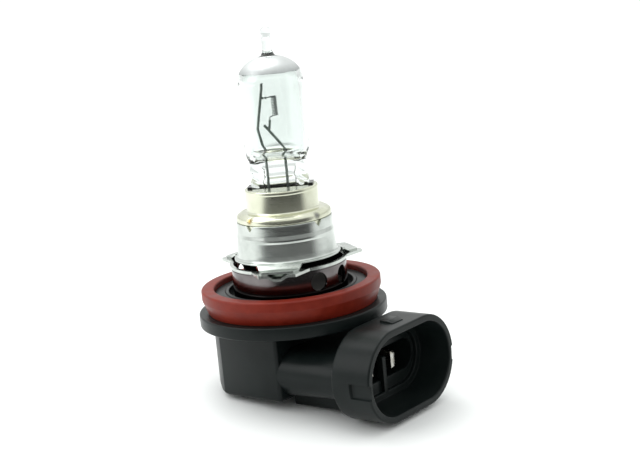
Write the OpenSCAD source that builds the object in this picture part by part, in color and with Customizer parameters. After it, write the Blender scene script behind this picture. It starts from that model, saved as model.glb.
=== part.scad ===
// Right-angle halogen headlight bulb, millimetres.
// +Z runs along the bulb axis towards the glass tip, +X points out of the connector mouth.
// The origin lies on the bulb axis, in the underside plane of the three locating lugs.

/* [Glass capsule] */
// Outer radius of the glass tube
glass_r = 5.3; // [4.4:0.05:6.4]
// Wall thickness of the glass tube
glass_wall = 0.8; // [0.6:0.05:1]
// Height at which the tube meets its flat press
press_top = 17.2; // [16.5:0.1:18]
// Height at which the tube starts to close into the dome
dome_z = 29.6; // [28:0.1:31]
// Height of the closed dome above its start
dome_h = 4.1; // [3.6:0.1:4.6]
// Radius of the sealed tip that stands on the dome
nib_r = 0.8; // [0.6:0.05:1]
// Height of the sealed tip above the dome
nib_h = 4.5; // [3:0.1:5]
// Thickness of the reflective coating on the dome
coat_t = 0.1; // [0.08:0.01:0.15]
// Height of the coating's lower edge above the start of the dome
coat_up = 1.45; // [1:0.05:1.8]

/* [Press seal] */
// How far each narrow side of the press stands in from the tube
press_in = 0.8; // [0.7:0.05:1.2]
// Thickness of the press at its two thick edges
press_t = 3.4; // [2.8:0.1:3.8]
// Thickness of the flat web between the edges
web_t = 2.4; // [1.8:0.1:2.6]
// Width of each thick edge
press_edge = 1.4; // [1:0.1:1.6]
// Height of the lower end of the press
press_bottom = 6.2; // [5.6:0.1:7]
// Direction of the wide side of the press about the bulb axis, in degrees
press_turn = 34; // [0:1:90]

/* [Filament and leads] */
// Diameter of the coiled filament
coil_d = 1.1; // [0.9:0.05:1.3]
// Length of the coiled filament
coil_l = 3.2; // [2.8:0.1:3.8]
// Height of the middle of the filament above the reference plane
coil_z = 25.5; // [24.5:0.1:26]
// Offset of the filament from the bulb axis, along the press
coil_s = 0.25; // [0:0.05:0.4]
// Diameter of the two support leads
lead_d = 0.45; // [0.35:0.05:0.5]
// Diameter of the filament's own legs
leg_d = 0.2; // [0.15:0.05:0.25]
// Distance of the long lead from the bulb axis where it leaves the press
long_foot = 1.9; // [1.6:0.1:2.1]
// Distance of the short lead from the bulb axis where it leaves the press
short_foot = 1.2; // [1.1:0.1:1.6]
// Height of the long lead's free end
long_top = 29.2; // [28:0.1:29.4]
// Width of the two sealing foils
foil_w = 2.2; // [1.8:0.1:2.6]
// Thickness of the sealing foils
foil_t = 0.12; // [0.08:0.01:0.15]
// Length of the sealing foils
foil_l = 4; // [3:0.1:4.4]
// Diameter of the wires that leave the press
tail_d = 0.7; // [0.5:0.05:0.8]

/* [Capsule cup] */
// Gap between the glass tube's radius and the cup's outer radius
cup_over = 0.62; // [0.6:0.02:0.8]
// Thickness of the cup and sleeve sheet
sheet = 0.35; // [0.3:0.01:0.45]
// Height of the cup's lid
cup_top = 12.5; // [11.8:0.1:13.2]
// Radius that rounds the edge of the lid
cup_round = 0.4; // [0.2:0.05:0.6]
// Height at which the cup's wall meets its shoulder
shoulder_z = 8.85; // [8.6:0.05:9.2]
// Height of the seam between the cup and the focus sleeve
seam_z = 7.35; // [7:0.05:7.6]
// Depth of the cup's skirt inside the sleeve
skirt = 1.8; // [1.2:0.1:2.4]
// Clearance between the skirt and the sleeve
skirt_gap = 0.03; // [0.02:0.01:0.06]

/* [Focus sleeve] */
// How far the sleeve's radius lies inside the collar's
sleeve_in = 1.68; // [1.5:0.02:1.9]
// Height of the crest of the bead round the sleeve
bead_z = 4.95; // [4.6:0.05:5.3]
// Height of the whole bead
bead_h = 1.4; // [1:0.1:1.6]
// How far the bead stands out from the sleeve
step_r = 0.15; // [0.1:0.01:0.2]
// Growth in radius from the bead down to the lip
flare_r = 0.15; // [0.1:0.01:0.2]
// Radial width of the lip at the sleeve's lower end
lip_w = 0.65; // [0.5:0.05:0.7]
// Clear height between the lug ring and the lip
lip_up = 0.65; // [0.5:0.05:0.8]

/* [Lug ring] */
// Thickness of the lug ring
ring_t = 0.45; // [0.35:0.05:0.5]
// How far the ring overhangs the collar
ring_over = 0.15; // [0.12:0.01:0.2]
// Radial width of the ring
ring_w = 0.6; // [0.5:0.05:0.9]
// How far each lug stands out from the collar
lug_out = 2.4; // [2:0.1:2.8]
// Width of a lug at its tip
lug_tip_w = 6; // [5.4:0.1:6.6]
// Width of a lug at its root
lug_root_w = 8.2; // [7:0.1:9]
// Width of the pressed V rib under each lug
rib_w = 3.3; // [2.6:0.1:3.8]
// Depth of the V rib below the reference plane
rib_h = 0.62; // [0.4:0.02:0.8]
// Depth of the register that centres the ring on the collar
register = 0.1; // [0.08:0.01:0.15]

/* [Collar] */
// Diameter of the locating collar
collar_d = 19; // [18:0.1:22.8]
// Wall thickness of the collar
collar_wall = 0.5; // [0.4:0.05:0.6]
// Width of the collar's rolled edge below the ring
edge_h = 0.3; // [0.2:0.05:0.4]
// Depth of the groove above and below the rolled edge
edge_in = 0.1; // [0.05:0.01:0.15]
// Radius of the four vent holes
vent_r = 1.5; // [1.2:0.05:1.6]
// Depth of the vent holes' centres below the reference plane
vent_z = 2.1; // [2:0.05:2.3]
// Half the angle between the two holes of a pair
vent_half = 17; // [14:1:20]
// Turn of the collar about the bulb axis
collar_turn = -4; // [-6:1:6]
// Depth of the collar in the moulding, below the deck
collar_seat = 3; // [2:0.1:4]

/* [Seal] */
// Depth of the moulded deck below the reference plane
deck_z = 4.1; // [3.9:0.1:4.5]
// Radial width of the deck, from the collar to the seal
deck_w = 3.1; // [2.8:0.1:3.8]
// Radial thickness of the seal
seal_t = 2.15; // [1.8:0.05:2.5]
// How far the seal stands above the deck
seal_up = 0.85; // [0.6:0.05:1.1]
// Length of the cylindrical sealing land
land_l = 1.3; // [1.1:0.1:1.6]
// Reduction in radius from the land to the seal's foot
seal_taper = 0.85; // [0.6:0.05:1]
// Radius that rounds the seal's top corners
seal_round = 0.3; // [0.2:0.05:0.5]

/* [Housing] */
// Height of the flange's upper face below the reference plane
flange_z = 7.15; // [6.8:0.05:7.5]
// Thickness of the flange
flange_t = 2.1; // [1.8:0.1:2.4]
// How far the flange stands out beyond the seal
flange_over = 0.7; // [0.5:0.05:0.9]
// How far the lower body stands out beyond the seal's bore
body_over = 0.7; // [0.5:0.05:1]
// Position of the flat front of the lower body
front_x = 5.3; // [4.6:0.1:6]
// How far the body's flat sides lie inside the sides of the shroud
side_in = 0.1; // [0:0.05:0.4]
// Wall thickness of the lower body
body_wall = 2.1; // [1.8:0.1:2.4]
// Thickness of the moulded floor under the collar
floor_t = 1.6; // [1.4:0.1:1.8]
// Depth of the lower body's flat underside below the reference plane
body_z = 20.2; // [20:0.1:21.5]
// Radius that rounds the lower edge of the body
body_round = 1.4; // [0.8:0.1:1.6]
// Thickness of the bottom cover
cover_t = 1.4; // [1.2:0.1:1.8]
// Clearance round the bottom cover
cover_gap = 0.1; // [0.08:0.01:0.15]

/* [Connector] */
// Width of the shroud
shroud_w = 23.5; // [22:0.1:28.2]
// Height of the shroud
shroud_h = 14.8; // [14:0.1:16]
// Wall of the shroud at its mouth
shroud_wall = 1.1; // [0.9:0.05:1.3]
// Length of the shroud
shroud_l = 7.05; // [6.4:0.05:8.5]
// Distance from the bulb axis to the back of the shroud
shroud_x = 15.9; // [15.6:0.1:19]
// Depth of the shroud's centre line below the reference plane
shroud_z = 15.9; // [15.6:0.1:17]
// Depth of the wide part of the socket, behind the mouth
ledge_d = 5.4; // [5:0.1:5.6]
// How far the wide part tapers in on each side, from the mouth to the ledge
draft = 0.8; // [0.4:0.1:0.9]
// Width of the ledge where the socket narrows
ledge_w = 1.05; // [0.7:0.05:1.2]
// Thickness of the shroud's back wall, round the neck
back_wall = 1; // [0.8:0.05:1.1]
// Depth of the pocket in the neck, behind the mouth
socket_d = 13.4; // [12:0.1:14]
// Wall of the neck round that pocket
neck_wall = 1.3; // [1:0.1:1.6]
// Height of the neck between the body and the shroud
neck_h = 7.6; // [7:0.1:9]
// Width of the web under the neck
web_w = 14; // [9:0.5:16]
// Depth of the web's lower edge below the reference plane
web_z = 22; // [21.6:0.1:22.4]
// Width of the latch catch on top of the shroud
catch_w = 2.8; // [2.2:0.1:6]
// Length of the latch catch
catch_l = 2.6; // [2:0.1:3.2]
// Height of the latch catch
catch_h = 0.4; // [0.3:0.05:0.9]
// Distance from the shroud's mouth to the latch catch
catch_back = 2; // [1:0.1:2.4]
// Length of the key slots in the shroud's sides
slot_l = 3.6; // [3:0.1:4.5]
// Height of the key slots
slot_h = 2.3; // [1.8:0.1:2.6]
// Depth of the key slots
slot_in = 0.45; // [0.3:0.05:0.6]
// Thickness of the divider rib between the blades
divider_t = 0.9; // [0.7:0.1:1.2]
// Height of the divider rib's top above the shroud's centre line
divider_up = 1.4; // [0.5:0.1:2]

/* [Terminals] */
// Distance between the two blades
blade_pitch = 6; // [5.6:0.1:6.6]
// Thickness of a blade
blade_t = 0.8; // [0.6:0.1:1]
// Height of a blade
blade_h = 2.8; // [2.4:0.1:3]
// Distance from the shroud's mouth to the blade tips
blade_back = 5.7; // [5:0.1:6.4]
// Chamfer on the blade tips
blade_chamfer = 0.3; // [0.2:0.05:0.35]

/* [Hidden] */
$fn = 96;
eps = 0.01;
big = 60;

// Radii that follow from the collar and the glass
collar_r = collar_d / 2;
ring_r = collar_r + ring_over;
lug_r = collar_r + lug_out;
boss_r = collar_r + deck_w;
seal_r = boss_r + seal_t;
flange_r = seal_r + flange_over;
body_r = boss_r + body_over;
sleeve_r = collar_r - sleeve_in;
cup_r = glass_r + cup_over;
cup_in = cup_r - sheet;
press_w = 2 * (glass_r - press_in);
lug_angles = [60, 180, 300];

// Heights in the lead frame
cup_bottom = seam_z - skirt;
foil_top = cup_top - sheet - 0.3;
tail_top = foil_top - foil_l;
foil_z = foil_top - foil_l / 2;
lead_up = press_top + 0.9;
long_bend = (press_top + long_top) / 2 - 1;
leg_top = coil_z + coil_l / 2;
leg_bottom = coil_z - coil_l / 2;
leg_s = coil_s - coil_d / 2 + leg_d / 2;
sleeve_top = leg_bottom - 0.15;
sleeve_end = sleeve_top - 2.2;
tail_end = shroud_z - 1;

// Places along the connector
mouth_x = shroud_x + shroud_l;
socket_x = mouth_x - socket_d;
ledge_x = mouth_x - ledge_d;
back_x = shroud_x + back_wall;
neck_x = front_x - 1;
side_y = shroud_w / 2 - side_in;
seat_z = deck_z + collar_seat;
chamber_z = seat_z + floor_t + 1.2;
slot_top = 0.5;

// Radii of the collar's wall and of the moulding inside it
wall_r = collar_r - edge_in;
bore_r = wall_r - collar_wall;
disc_t = 1.6;
moat_z = 1;
well_gap = 0.75;
well_lip = 0.6;
fit_gap = 0.05;

// Points on an arc, from angle a0 to a1 in n steps
function arc(cx, cz, r, a0, a1, n) =
    [for (i = [0 : n]) [cx + r * cos(a0 + (a1 - a0) * i / n), cz + r * sin(a0 + (a1 - a0) * i / n)]];

// The dome's half outline: a quarter ellipse from the height up (a fraction of h) to its top
function dome(r, h, n, up) =
    [for (i = [0 : n]) let (a = asin(up) + (90 - asin(up)) * i / n) [r * cos(a), dome_z + h * sin(a)]];

// A closed rail with round ends, width w across Y and height h across Z
module stadium(w, h) {
    square([w - h, h], center = true);
    for (side = [-1, 1]) translate([side * (w - h) / 2, 0]) circle(d = h);
}

// Extrudes a YZ outline along +X from x0 to x1, about the shroud's centre line
module along_x(x0, x1) {
    translate([x0, 0, -shroud_z]) rotate([90, 0, 90]) linear_extrude(x1 - x0) children();
}

// A rail with round ends that narrows on every side along +X, from radius r0 to r1
module draft_rail(x0, x1, run, r0, r1) {
    for (side = [-1, 1])
        translate([x0, side * run, -shroud_z]) rotate([0, 90, 0]) cylinder(r1 = r0, r2 = r1, h = x1 - x0);
    rotate([90, 0, 0]) linear_extrude(2 * run, center = true)
        polygon([[x0, -shroud_z - r0], [x1, -shroud_z - r1], [x1, -shroud_z + r1], [x0, -shroud_z + r0]]);
}

// A straight round wire between two points of the lead plane, given as [along press, height]
module wire(p, q, d) {
    len = norm(q - p);
    tilt = atan2(q[0] - p[0], q[1] - p[1]);
    translate([p[0], 0, p[1]]) rotate([0, tilt, 0]) cylinder(d = d, h = len);
}

// A bent wire: straight lengths joined by slightly larger knuckles
module bent_wire(points, d) {
    for (i = [0 : len(points) - 2]) wire(points[i], points[i + 1], d);
    for (i = [1 : len(points) - 2]) translate([points[i][0], 0, points[i][1]]) sphere(d = d * 1.08);
}

// Turns children into the lead plane
module in_press() { rotate([0, 0, press_turn]) children(); }

// A sealing foil at a distance s from the bulb axis
module foil(s) {
    translate([s, 0, foil_z]) cube([foil_w, foil_t, foil_l], center = true);
}

// The room that the leads, foils and tails take inside the press
module press_cores() {
    for (s = [-long_foot, short_foot]) {
        translate([s, 0, foil_top - eps]) cylinder(d = lead_d, h = press_top);
        translate([s, 0, press_bottom - 1]) cylinder(d = tail_d, h = tail_top - press_bottom + 1);
        foil(s);
    }
}

// Glass capsule: tube, dome, sealed tip and flat press in one piece
module glass_envelope() {
    r = glass_r;
    ri = glass_r - glass_wall;
    h = dome_h;
    nib_z = dome_z + h * 0.985;
    base = [[0, press_top - 1.6], [r * 0.3, press_top - 1.4], [r * 0.68, press_top - 0.7],
            [r * 0.9, press_top + 0.1], [r, press_top + 1.3], [r, dome_z]];
    top = [for (p = dome(r, h, 12, coat_up / h)) if (p[0] > nib_r + 0.5) [p[0] - coat_t, p[1] - coat_t]];
    tip = [[nib_r, nib_z + 0.3], [nib_r, nib_z + nib_h * 0.6], [nib_r * 0.88, nib_z + nib_h * 0.68],
           [nib_r, nib_z + nib_h * 0.86], [nib_r * 0.7, nib_z + nib_h * 0.97], [0, nib_z + nib_h]];
    hollow = concat([[0, press_top + 0.1], [ri * 0.45, press_top + 0.25], [ri * 0.85, press_top + 0.9],
                     [ri, press_top + 1.9]],
                    [for (p = dome(ri, h - glass_wall - coat_t, 10, 0)) if (p[0] > 0.2) p],
                    [[0, dome_z + h - glass_wall - coat_t]]);
    color("honeydew", 0.35) difference() {
        union() {
            rotate_extrude() polygon(concat(base, [[r, dome_z + coat_up - 0.25]], top, tip));
            in_press() translate([-press_w / 2, -web_t / 2, press_bottom])
                cube([press_w, web_t, press_top - press_bottom]);
            in_press() for (side = [-1, 1])
                translate([side * (press_w - press_edge) / 2 - press_edge / 2, -press_t / 2, press_bottom])
                    cube([press_edge, press_t, press_top - press_bottom]);
        }
        rotate_extrude() polygon(hollow);
        in_press() press_cores();
    }
}

// Reflective coating: a thin cap on the dome, open round the sealed tip
module top_coating() {
    skin = [for (p = dome(glass_r, dome_h, 12, coat_up / dome_h)) if (p[0] > nib_r + 0.5) p];
    n = len(skin);
    inner = [for (i = [0 : n - 1]) [skin[n - 1 - i][0] - coat_t, skin[n - 1 - i][1] - coat_t]];
    color("gainsboro") rotate_extrude() polygon(concat(skin, inner));
}

// Coiled filament as a hollow sleeve, with its upper and lower legs
module filament() {
    color("dimgray") in_press() {
        translate([coil_s, 0, leg_bottom]) difference() {
            cylinder(d = coil_d, h = coil_l);
            translate([0, 0, -1]) cylinder(d = coil_d - 2 * leg_d, h = coil_l + 2);
        }
        wire([leg_s, leg_top - leg_d], [-long_foot + lead_d / 2 + fit_gap, leg_top - leg_d], leg_d);
        wire([leg_s, leg_bottom + leg_d], [-0.7, leg_bottom + leg_d], leg_d);
    }
}

// Small sleeves that grip the filament's legs: two beads on the upper leg, a tube below the lower one
module leg_sleeves() {
    bead_l = 0.25;
    color("slategray") in_press() {
        for (s = [-long_foot + 0.55, -long_foot + 1.05])
            translate([s, 0, leg_top - leg_d]) rotate([0, 90, 0]) difference() {
                cylinder(d = leg_d * 2.2, h = bead_l);
                translate([0, 0, -1]) cylinder(d = leg_d, h = bead_l + 2);
            }
        wire([-0.72, sleeve_top], [-0.95, sleeve_end], lead_d * 1.1);
    }
}

// Long support lead, bent out and back beside the filament
module long_lead() {
    out = 0.9;
    lean = 0.5;
    color("darkslategray") in_press()
        bent_wire([[-long_foot, foil_top], [-long_foot, lead_up], [-long_foot - out, long_bend],
                   [-long_foot, leg_top], [-long_foot + lean, long_top]], lead_d);
}

// Short support lead, bent across the axis towards the lower leg's sleeve
module short_lead() {
    color("darkslategray") in_press()
        bent_wire([[short_foot, foil_top], [short_foot, lead_up], [short_foot - 0.45, press_top + 1.9],
                   [-0.62, sleeve_end - 0.1]], lead_d);
}

// Molybdenum sealing foils inside the press
module long_foil() { color("gray") in_press() foil(-long_foot); }
module short_foil() { color("gray") in_press() foil(short_foot); }

// Wires from the foils down to the terminals
module tail(s) {
    in_press() translate([s, 0, -tail_end]) cylinder(d = tail_d, h = tail_end + tail_top);
}
module long_tail() { color("silver") tail(-long_foot); }
module short_tail() { color("silver") tail(short_foot); }

// Sheet clip: a box round the press whose two ends rise through the lid and fold out over it
module press_clip() {
    low = 8.2;
    side_top = cup_top - sheet - 0.6;
    w = press_w / 2 + fit_gap;
    t = press_t / 2 + fit_gap;
    ear_w = press_t - 0.6;
    ear_out = cup_r - cup_round - 0.2;
    color("darkgray") in_press() {
        difference() {
            translate([-w - sheet, -t - sheet, low]) cube([2 * (w + sheet), 2 * (t + sheet), side_top - low]);
            translate([-w, -t, low - 1]) cube([2 * w, 2 * t, side_top - low + 2]);
        }
        for (side = [0, 180]) rotate([0, 0, side]) translate([0, -ear_w / 2, 0]) {
            translate([w, 0, side_top - 1]) cube([sheet, ear_w, cup_top + sheet - side_top + 1]);
            translate([w, 0, cup_top]) cube([ear_out - w, ear_w, sheet]);
        }
    }
}

// Drawn metal cup: a lid with a slot for the press, wall, rounded shoulder and a skirt inside the sleeve
module capsule_cup() {
    bulge = sleeve_r - 0.1;
    skirt_r = sleeve_r - sheet - skirt_gap;
    drop = shoulder_z - 0.1 - seam_z - 0.05;
    flat_r = bulge - drop;
    arc_z = shoulder_z - 0.1 - drop;
    q = cup_round;
    lid_r = cup_r + 0.06;
    outer = concat([[0, cup_top]],
                   arc(lid_r - q, cup_top - q, q, 90, 0, 4),
                   [[lid_r, cup_top - 0.5], [cup_r, cup_top - 0.65], [cup_r, shoulder_z + 0.25]],
                   [[cup_r + 0.08, shoulder_z + 0.05], [cup_r + 0.25, shoulder_z - 0.05]],
                   arc(flat_r, arc_z, drop, 84, 0, 8),
                   [[skirt_r, seam_z + 0.05], [skirt_r, cup_bottom]]);
    inner = concat([[skirt_r - sheet, cup_bottom], [skirt_r - sheet, seam_z + 0.1]],
                   arc(flat_r, arc_z, drop - sheet - 0.06, 0, 84, 8),
                   [[cup_in + 0.1, shoulder_z - 0.1 - sheet], [cup_in, shoulder_z - sheet + 0.1]],
                   [[cup_in, cup_top - sheet - 0.15]],
                   [[cup_in - 0.15, cup_top - sheet], [0, cup_top - sheet]]);
    slot_w = press_w / 2 + sheet + 2 * fit_gap;
    slot_t = press_t / 2 + fit_gap;
    color("tan") difference() {
        rotate_extrude() polygon(concat(outer, inner));
        in_press() translate([-slot_w, -slot_t, cup_top - sheet - 1])
            cube([2 * slot_w, 2 * slot_t, sheet + 2]);
    }
}

// A flat strip tab that runs from the sleeve's lip down onto one lug
module sleeve_tab() {
    lip_z = ring_t + lip_up;
    root = sleeve_r + step_r + flare_r - sheet / 2;
    end = lug_r - 0.7;
    bend = sleeve_r + step_r + flare_r + lip_w;
    wide = lug_root_w / 2 - 0.4;
    slim = lug_tip_w / 2 - 0.4;
    intersection() {
        rotate([90, 0, 0]) linear_extrude(lug_root_w, center = true)
            polygon([[root, lip_z], [bend - 0.1, lip_z], [ring_r, ring_t], [end, ring_t],
                     [end, ring_t + sheet], [ring_r + 0.1, ring_t + sheet], [bend, lip_z + sheet],
                     [root, lip_z + sheet]]);
        linear_extrude(big)
            polygon([[root - 1, -wide], [bend, -wide], [end + 1, -slim], [end + 1, slim], [bend, wide],
                     [root - 1, wide]]);
    }
}

// Focus sleeve: a can with a bead and a lip, welded to the lugs by three tabs
module focus_sleeve() {
    r0 = sleeve_r;
    r1 = sleeve_r + step_r;
    r2 = r1 + flare_r;
    z = ring_t + lip_up;
    top = bead_z + bead_h / 2;
    low = bead_z - bead_h / 3;
    color("silver") {
        rotate_extrude() polygon([[r0 - sheet, seam_z], [r0, seam_z], [r0, top], [r1, bead_z + 0.1],
                                  [r1, bead_z - 0.15], [r1 - 0.05, low],
                                  [r2, z + 0.75], [r2 + 0.15, z + sheet + 0.08], [r2 + 0.35, z + sheet],
                                  [r2 + lip_w, z + sheet], [r2 + lip_w, z], [r2, z],
                                  [r2 - sheet + 0.08, z + 0.3], [r2 - sheet, z + 0.75],
                                  [r1 - 0.05 - sheet, low], [r1 - sheet, bead_z - 0.15],
                                  [r1 - sheet, bead_z], [r0 - sheet, top - 0.1]]);
        for (a = lug_angles) rotate([0, 0, a]) sleeve_tab();
    }
}

// Lug ring: a thin plate with three lugs and a V rib pressed down under each
module lug_ring() {
    rib_x = ring_r + 0.2;
    half = rib_w / 2;
    root = lug_root_w / 2;
    tip = lug_tip_w / 2;
    color("lightgray") {
        difference() {
            linear_extrude(ring_t) difference() {
                union() {
                    circle(r = ring_r);
                    for (a = lug_angles) rotate([0, 0, a])
                        polygon([[0, -root], [ring_r - 0.3, -root], [lug_r - 0.15, -tip], [lug_r, 0.3 - tip],
                                 [lug_r, tip - 0.3], [lug_r - 0.15, tip], [ring_r - 0.3, root], [0, root]]);
                }
                circle(r = ring_r - ring_w);
            }
            translate([0, 0, -1]) cylinder(r = collar_r + fit_gap, h = 1 + register);
            for (a = lug_angles) rotate([0, 0, a])
                translate([rib_x, -half, -1]) cube([lug_r, rib_w, ring_t + 2]);
        }
        for (a = lug_angles) rotate([0, 0, a]) translate([rib_x, 0, 0]) rotate([90, 0, 90])
            linear_extrude(lug_r - rib_x)
                polygon([[-half, ring_t], [-half, 0], [-half * 0.3, -rib_h], [half * 0.3, -rib_h], [half, 0],
                         [half, ring_t], [half * 0.78, ring_t], [half * 0.2, ring_t - rib_h],
                         [-half * 0.2, ring_t - rib_h], [-half * 0.78, ring_t]]);
    }
}

// Collar: the locating cylinder, with a rolled edge and four vent holes
module base_collar() {
    edge_top = -0.25;
    edge_low = edge_top - edge_h;
    color("dimgray") difference() {
        rotate_extrude()
            polygon([[bore_r, -seat_z], [wall_r, -seat_z], [wall_r, edge_low], [collar_r, edge_low],
                     [collar_r, edge_top], [wall_r, edge_top], [wall_r, register], [bore_r, register]]);
        for (back = [0, 180], side = [-1, 1]) rotate([0, 0, collar_turn + back + side * vent_half])
            translate([0, 0, -vent_z]) rotate([0, 90, 0]) cylinder(r = vent_r, h = big);
    }
}

// Room for the two tails, with a little clearance
module tail_holes() {
    in_press() for (s = [-long_foot, short_foot])
        translate([s, 0, -big / 2]) cylinder(d = tail_d + 2 * fit_gap, h = big);
}

// Insulating disc inside the collar, with a hole for each tail
module insulator() {
    color("ivory") difference() {
        translate([0, 0, -deck_z - disc_t]) cylinder(r = bore_r - fit_gap, h = disc_t);
        tail_holes();
    }
}

// The lower body, round at the back with two flat sides and a flat front, from its underside up to height z1
module body_block(z1) {
    r = body_r;
    q = body_round;
    intersection() {
        rotate_extrude()
            polygon(concat([[0, z1], [0, -body_z]], arc(r - q, q - body_z, q, -90, 0, 5), [[r, z1]]));
        translate([-big, -side_y, -big]) cube([big + front_x, 2 * side_y, 2 * big]);
    }
}

// The terminal chamber's outline, a given margin inside the body, from height z0 up to z1
module chamber(margin, z0, z1) {
    half = side_y - margin;
    intersection() {
        translate([0, 0, z0]) cylinder(r = body_r - margin, h = z1 - z0);
        translate([-big, -half, z0]) cube([big + front_x - margin, 2 * half, z1 - z0]);
    }
}

// Solid shapes that make up the moulding before it is cored
module housing_solid() {
    translate([0, 0, -flange_z - eps]) cylinder(r = boss_r, h = flange_z - deck_z + eps);
    translate([0, 0, -flange_z - flange_t]) cylinder(r = flange_r, h = flange_t);
    body_block(-flange_z - flange_t + eps);
    along_x(neck_x, shroud_x + 0.5) stadium(shroud_w, neck_h);
    along_x(shroud_x, mouth_x) stadium(shroud_w, shroud_h);
    translate([front_x - eps, -web_w / 2, -web_z]) cube([shroud_x - front_x + 0.5, web_w, web_z - shroud_z]);
}

// Annular seat of the collar, the wider moat at the deck and the well of the insulating disc
module collar_seat_room() {
    difference() {
        translate([0, 0, -seat_z]) cylinder(r = wall_r, h = seat_z);
        translate([0, 0, -seat_z - 1]) cylinder(r = bore_r, h = seat_z);
    }
    translate([0, 0, -deck_z - moat_z]) difference() {
        cylinder(r = collar_r + well_gap, h = moat_z + 2);
        translate([0, 0, -1]) cylinder(r = bore_r, h = moat_z + 4);
    }
    translate([0, 0, -deck_z - disc_t]) cylinder(r = bore_r - eps, h = disc_t + 3);
}

// Socket: tapered mouth, ledge, narrower back and the pocket in the neck
module socket_room() {
    r = shroud_h / 2 - shroud_wall;
    run = (shroud_w - shroud_h) / 2;
    narrow = r - draft - ledge_w;
    draft_rail(ledge_x, mouth_x, run, r - draft, r);
    along_x(mouth_x - eps, mouth_x + 1) stadium(2 * (run + r), 2 * r);
    along_x(back_x, mouth_x) stadium(2 * (run + narrow), 2 * narrow);
    along_x(socket_x, mouth_x) stadium(2 * (run + narrow - 0.2), neck_h - 2 * neck_wall);
}

// Base housing: deck, flange, lower body, neck and connector shroud in one moulding
module base_housing() {
    narrow_z = shroud_h / 2 - shroud_wall - draft - ledge_w;
    catch_x = mouth_x - catch_back;
    color([0.13, 0.14, 0.14]) {
        difference() {
            housing_solid();
            collar_seat_room();
            chamber(body_wall, -body_z - 1, -chamber_z);
            socket_room();
            // Key slots in both sides of the shroud
            for (side = [-1, 1])
                translate([mouth_x - slot_l, side * shroud_w / 2 - slot_in, -shroud_z - slot_h + slot_top])
                    cube([slot_l + 1, 2 * slot_in, slot_h]);
            // Passages for the blades and the tails
            for (side = [-1, 1])
                translate([0, side * blade_pitch / 2 - blade_t / 2, -shroud_z - blade_h / 2])
                    cube([socket_x + 1, blade_t, blade_h]);
            tail_holes();
        }
        // Raised lip round the moat
        translate([0, 0, -deck_z - eps]) difference() {
            cylinder(r = collar_r + well_gap + well_lip, h = 0.2 + eps);
            translate([0, 0, -1]) cylinder(r = collar_r + well_gap, h = 3);
        }
        // Divider rib between the blades, from the socket's floor up past its middle
        translate([back_x - 0.5, -divider_t / 2, -shroud_z - narrow_z - 0.3])
            cube([ledge_x - back_x + 0.5, divider_t, narrow_z + 0.3 + divider_up]);
        // Latch catch: a low pad whose front end slopes down towards the mouth
        translate([0, catch_w / 2, -shroud_z + shroud_h / 2 - 0.2]) rotate([90, 0, 0]) linear_extrude(catch_w)
            polygon([[catch_x - catch_l, 0], [catch_x, 0], [catch_x, 0.25],
                     [catch_x - catch_l * 0.6, 0.2 + catch_h], [catch_x - catch_l, 0.2 + catch_h]]);
    }
}

// Bottom cover: the lid that closes the terminal chamber, flush with the underside
module bottom_cover() {
    color([0.1, 0.11, 0.11]) chamber(body_wall + cover_gap, -body_z, cover_t - body_z);
}

// Silicone seal with a cylindrical land and a tapered foot
module seal_ring() {
    top = seal_up - deck_z;
    foot = -flange_z;
    foot_r = seal_r - seal_taper;
    q = seal_round;
    color("firebrick") rotate_extrude() polygon(concat(
        [[boss_r, foot], [foot_r, foot], [foot_r + 0.1, foot + 0.3], [seal_r, top - q - land_l]],
        arc(seal_r - q, top - q, q, 0, 90, 5),
        arc(boss_r + q, top - q, q, 90, 180, 5)));
}

// A blade terminal: chamfered blade, shank and an arm that meets one tail
module terminal(side, s) {
    tip = mouth_x - blade_back;
    c = blade_chamfer;
    y = side * blade_pitch / 2;
    at = [s * cos(press_turn), s * sin(press_turn)];
    back = at[0] - 0.6;
    arm_from = at[1] + side * tail_d / 2;
    arm = abs(y - arm_from);
    translate([0, y, -shroud_z]) intersection() {
        rotate([90, 0, 0]) linear_extrude(blade_t, center = true)
            polygon([[back, -blade_h / 2], [tip - c, -blade_h / 2], [tip, -blade_h / 2 + c],
                     [tip, blade_h / 2 - c], [tip - c, blade_h / 2], [back, blade_h / 2]]);
        linear_extrude(big, center = true)
            polygon([[back, -blade_t / 2], [tip - c, -blade_t / 2], [tip, -blade_t / 2 + c * 0.8],
                     [tip, blade_t / 2 - c * 0.8], [tip - c, blade_t / 2], [back, blade_t / 2]]);
    }
    translate([back, side > 0 ? arm_from : y, -shroud_z + blade_h / 2 - 1]) cube([1.2, arm, 1]);
}
module left_terminal() { color("gold") terminal(-1, -long_foot); }
module right_terminal() { color("gold") terminal(1, short_foot); }

glass_envelope();
top_coating();
filament();
leg_sleeves();
long_lead();
short_lead();
long_foil();
short_foil();
long_tail();
short_tail();
press_clip();
capsule_cup();
focus_sleeve();
lug_ring();
base_collar();
insulator();
base_housing();
bottom_cover();
seal_ring();
left_terminal();
right_terminal();
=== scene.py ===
"""Right-angle halogen headlight bulb: the finished looks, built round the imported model.

All sizes are in metres."""
import math

import bpy
import numpy as np
from mathutils import Matrix, Vector


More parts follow.
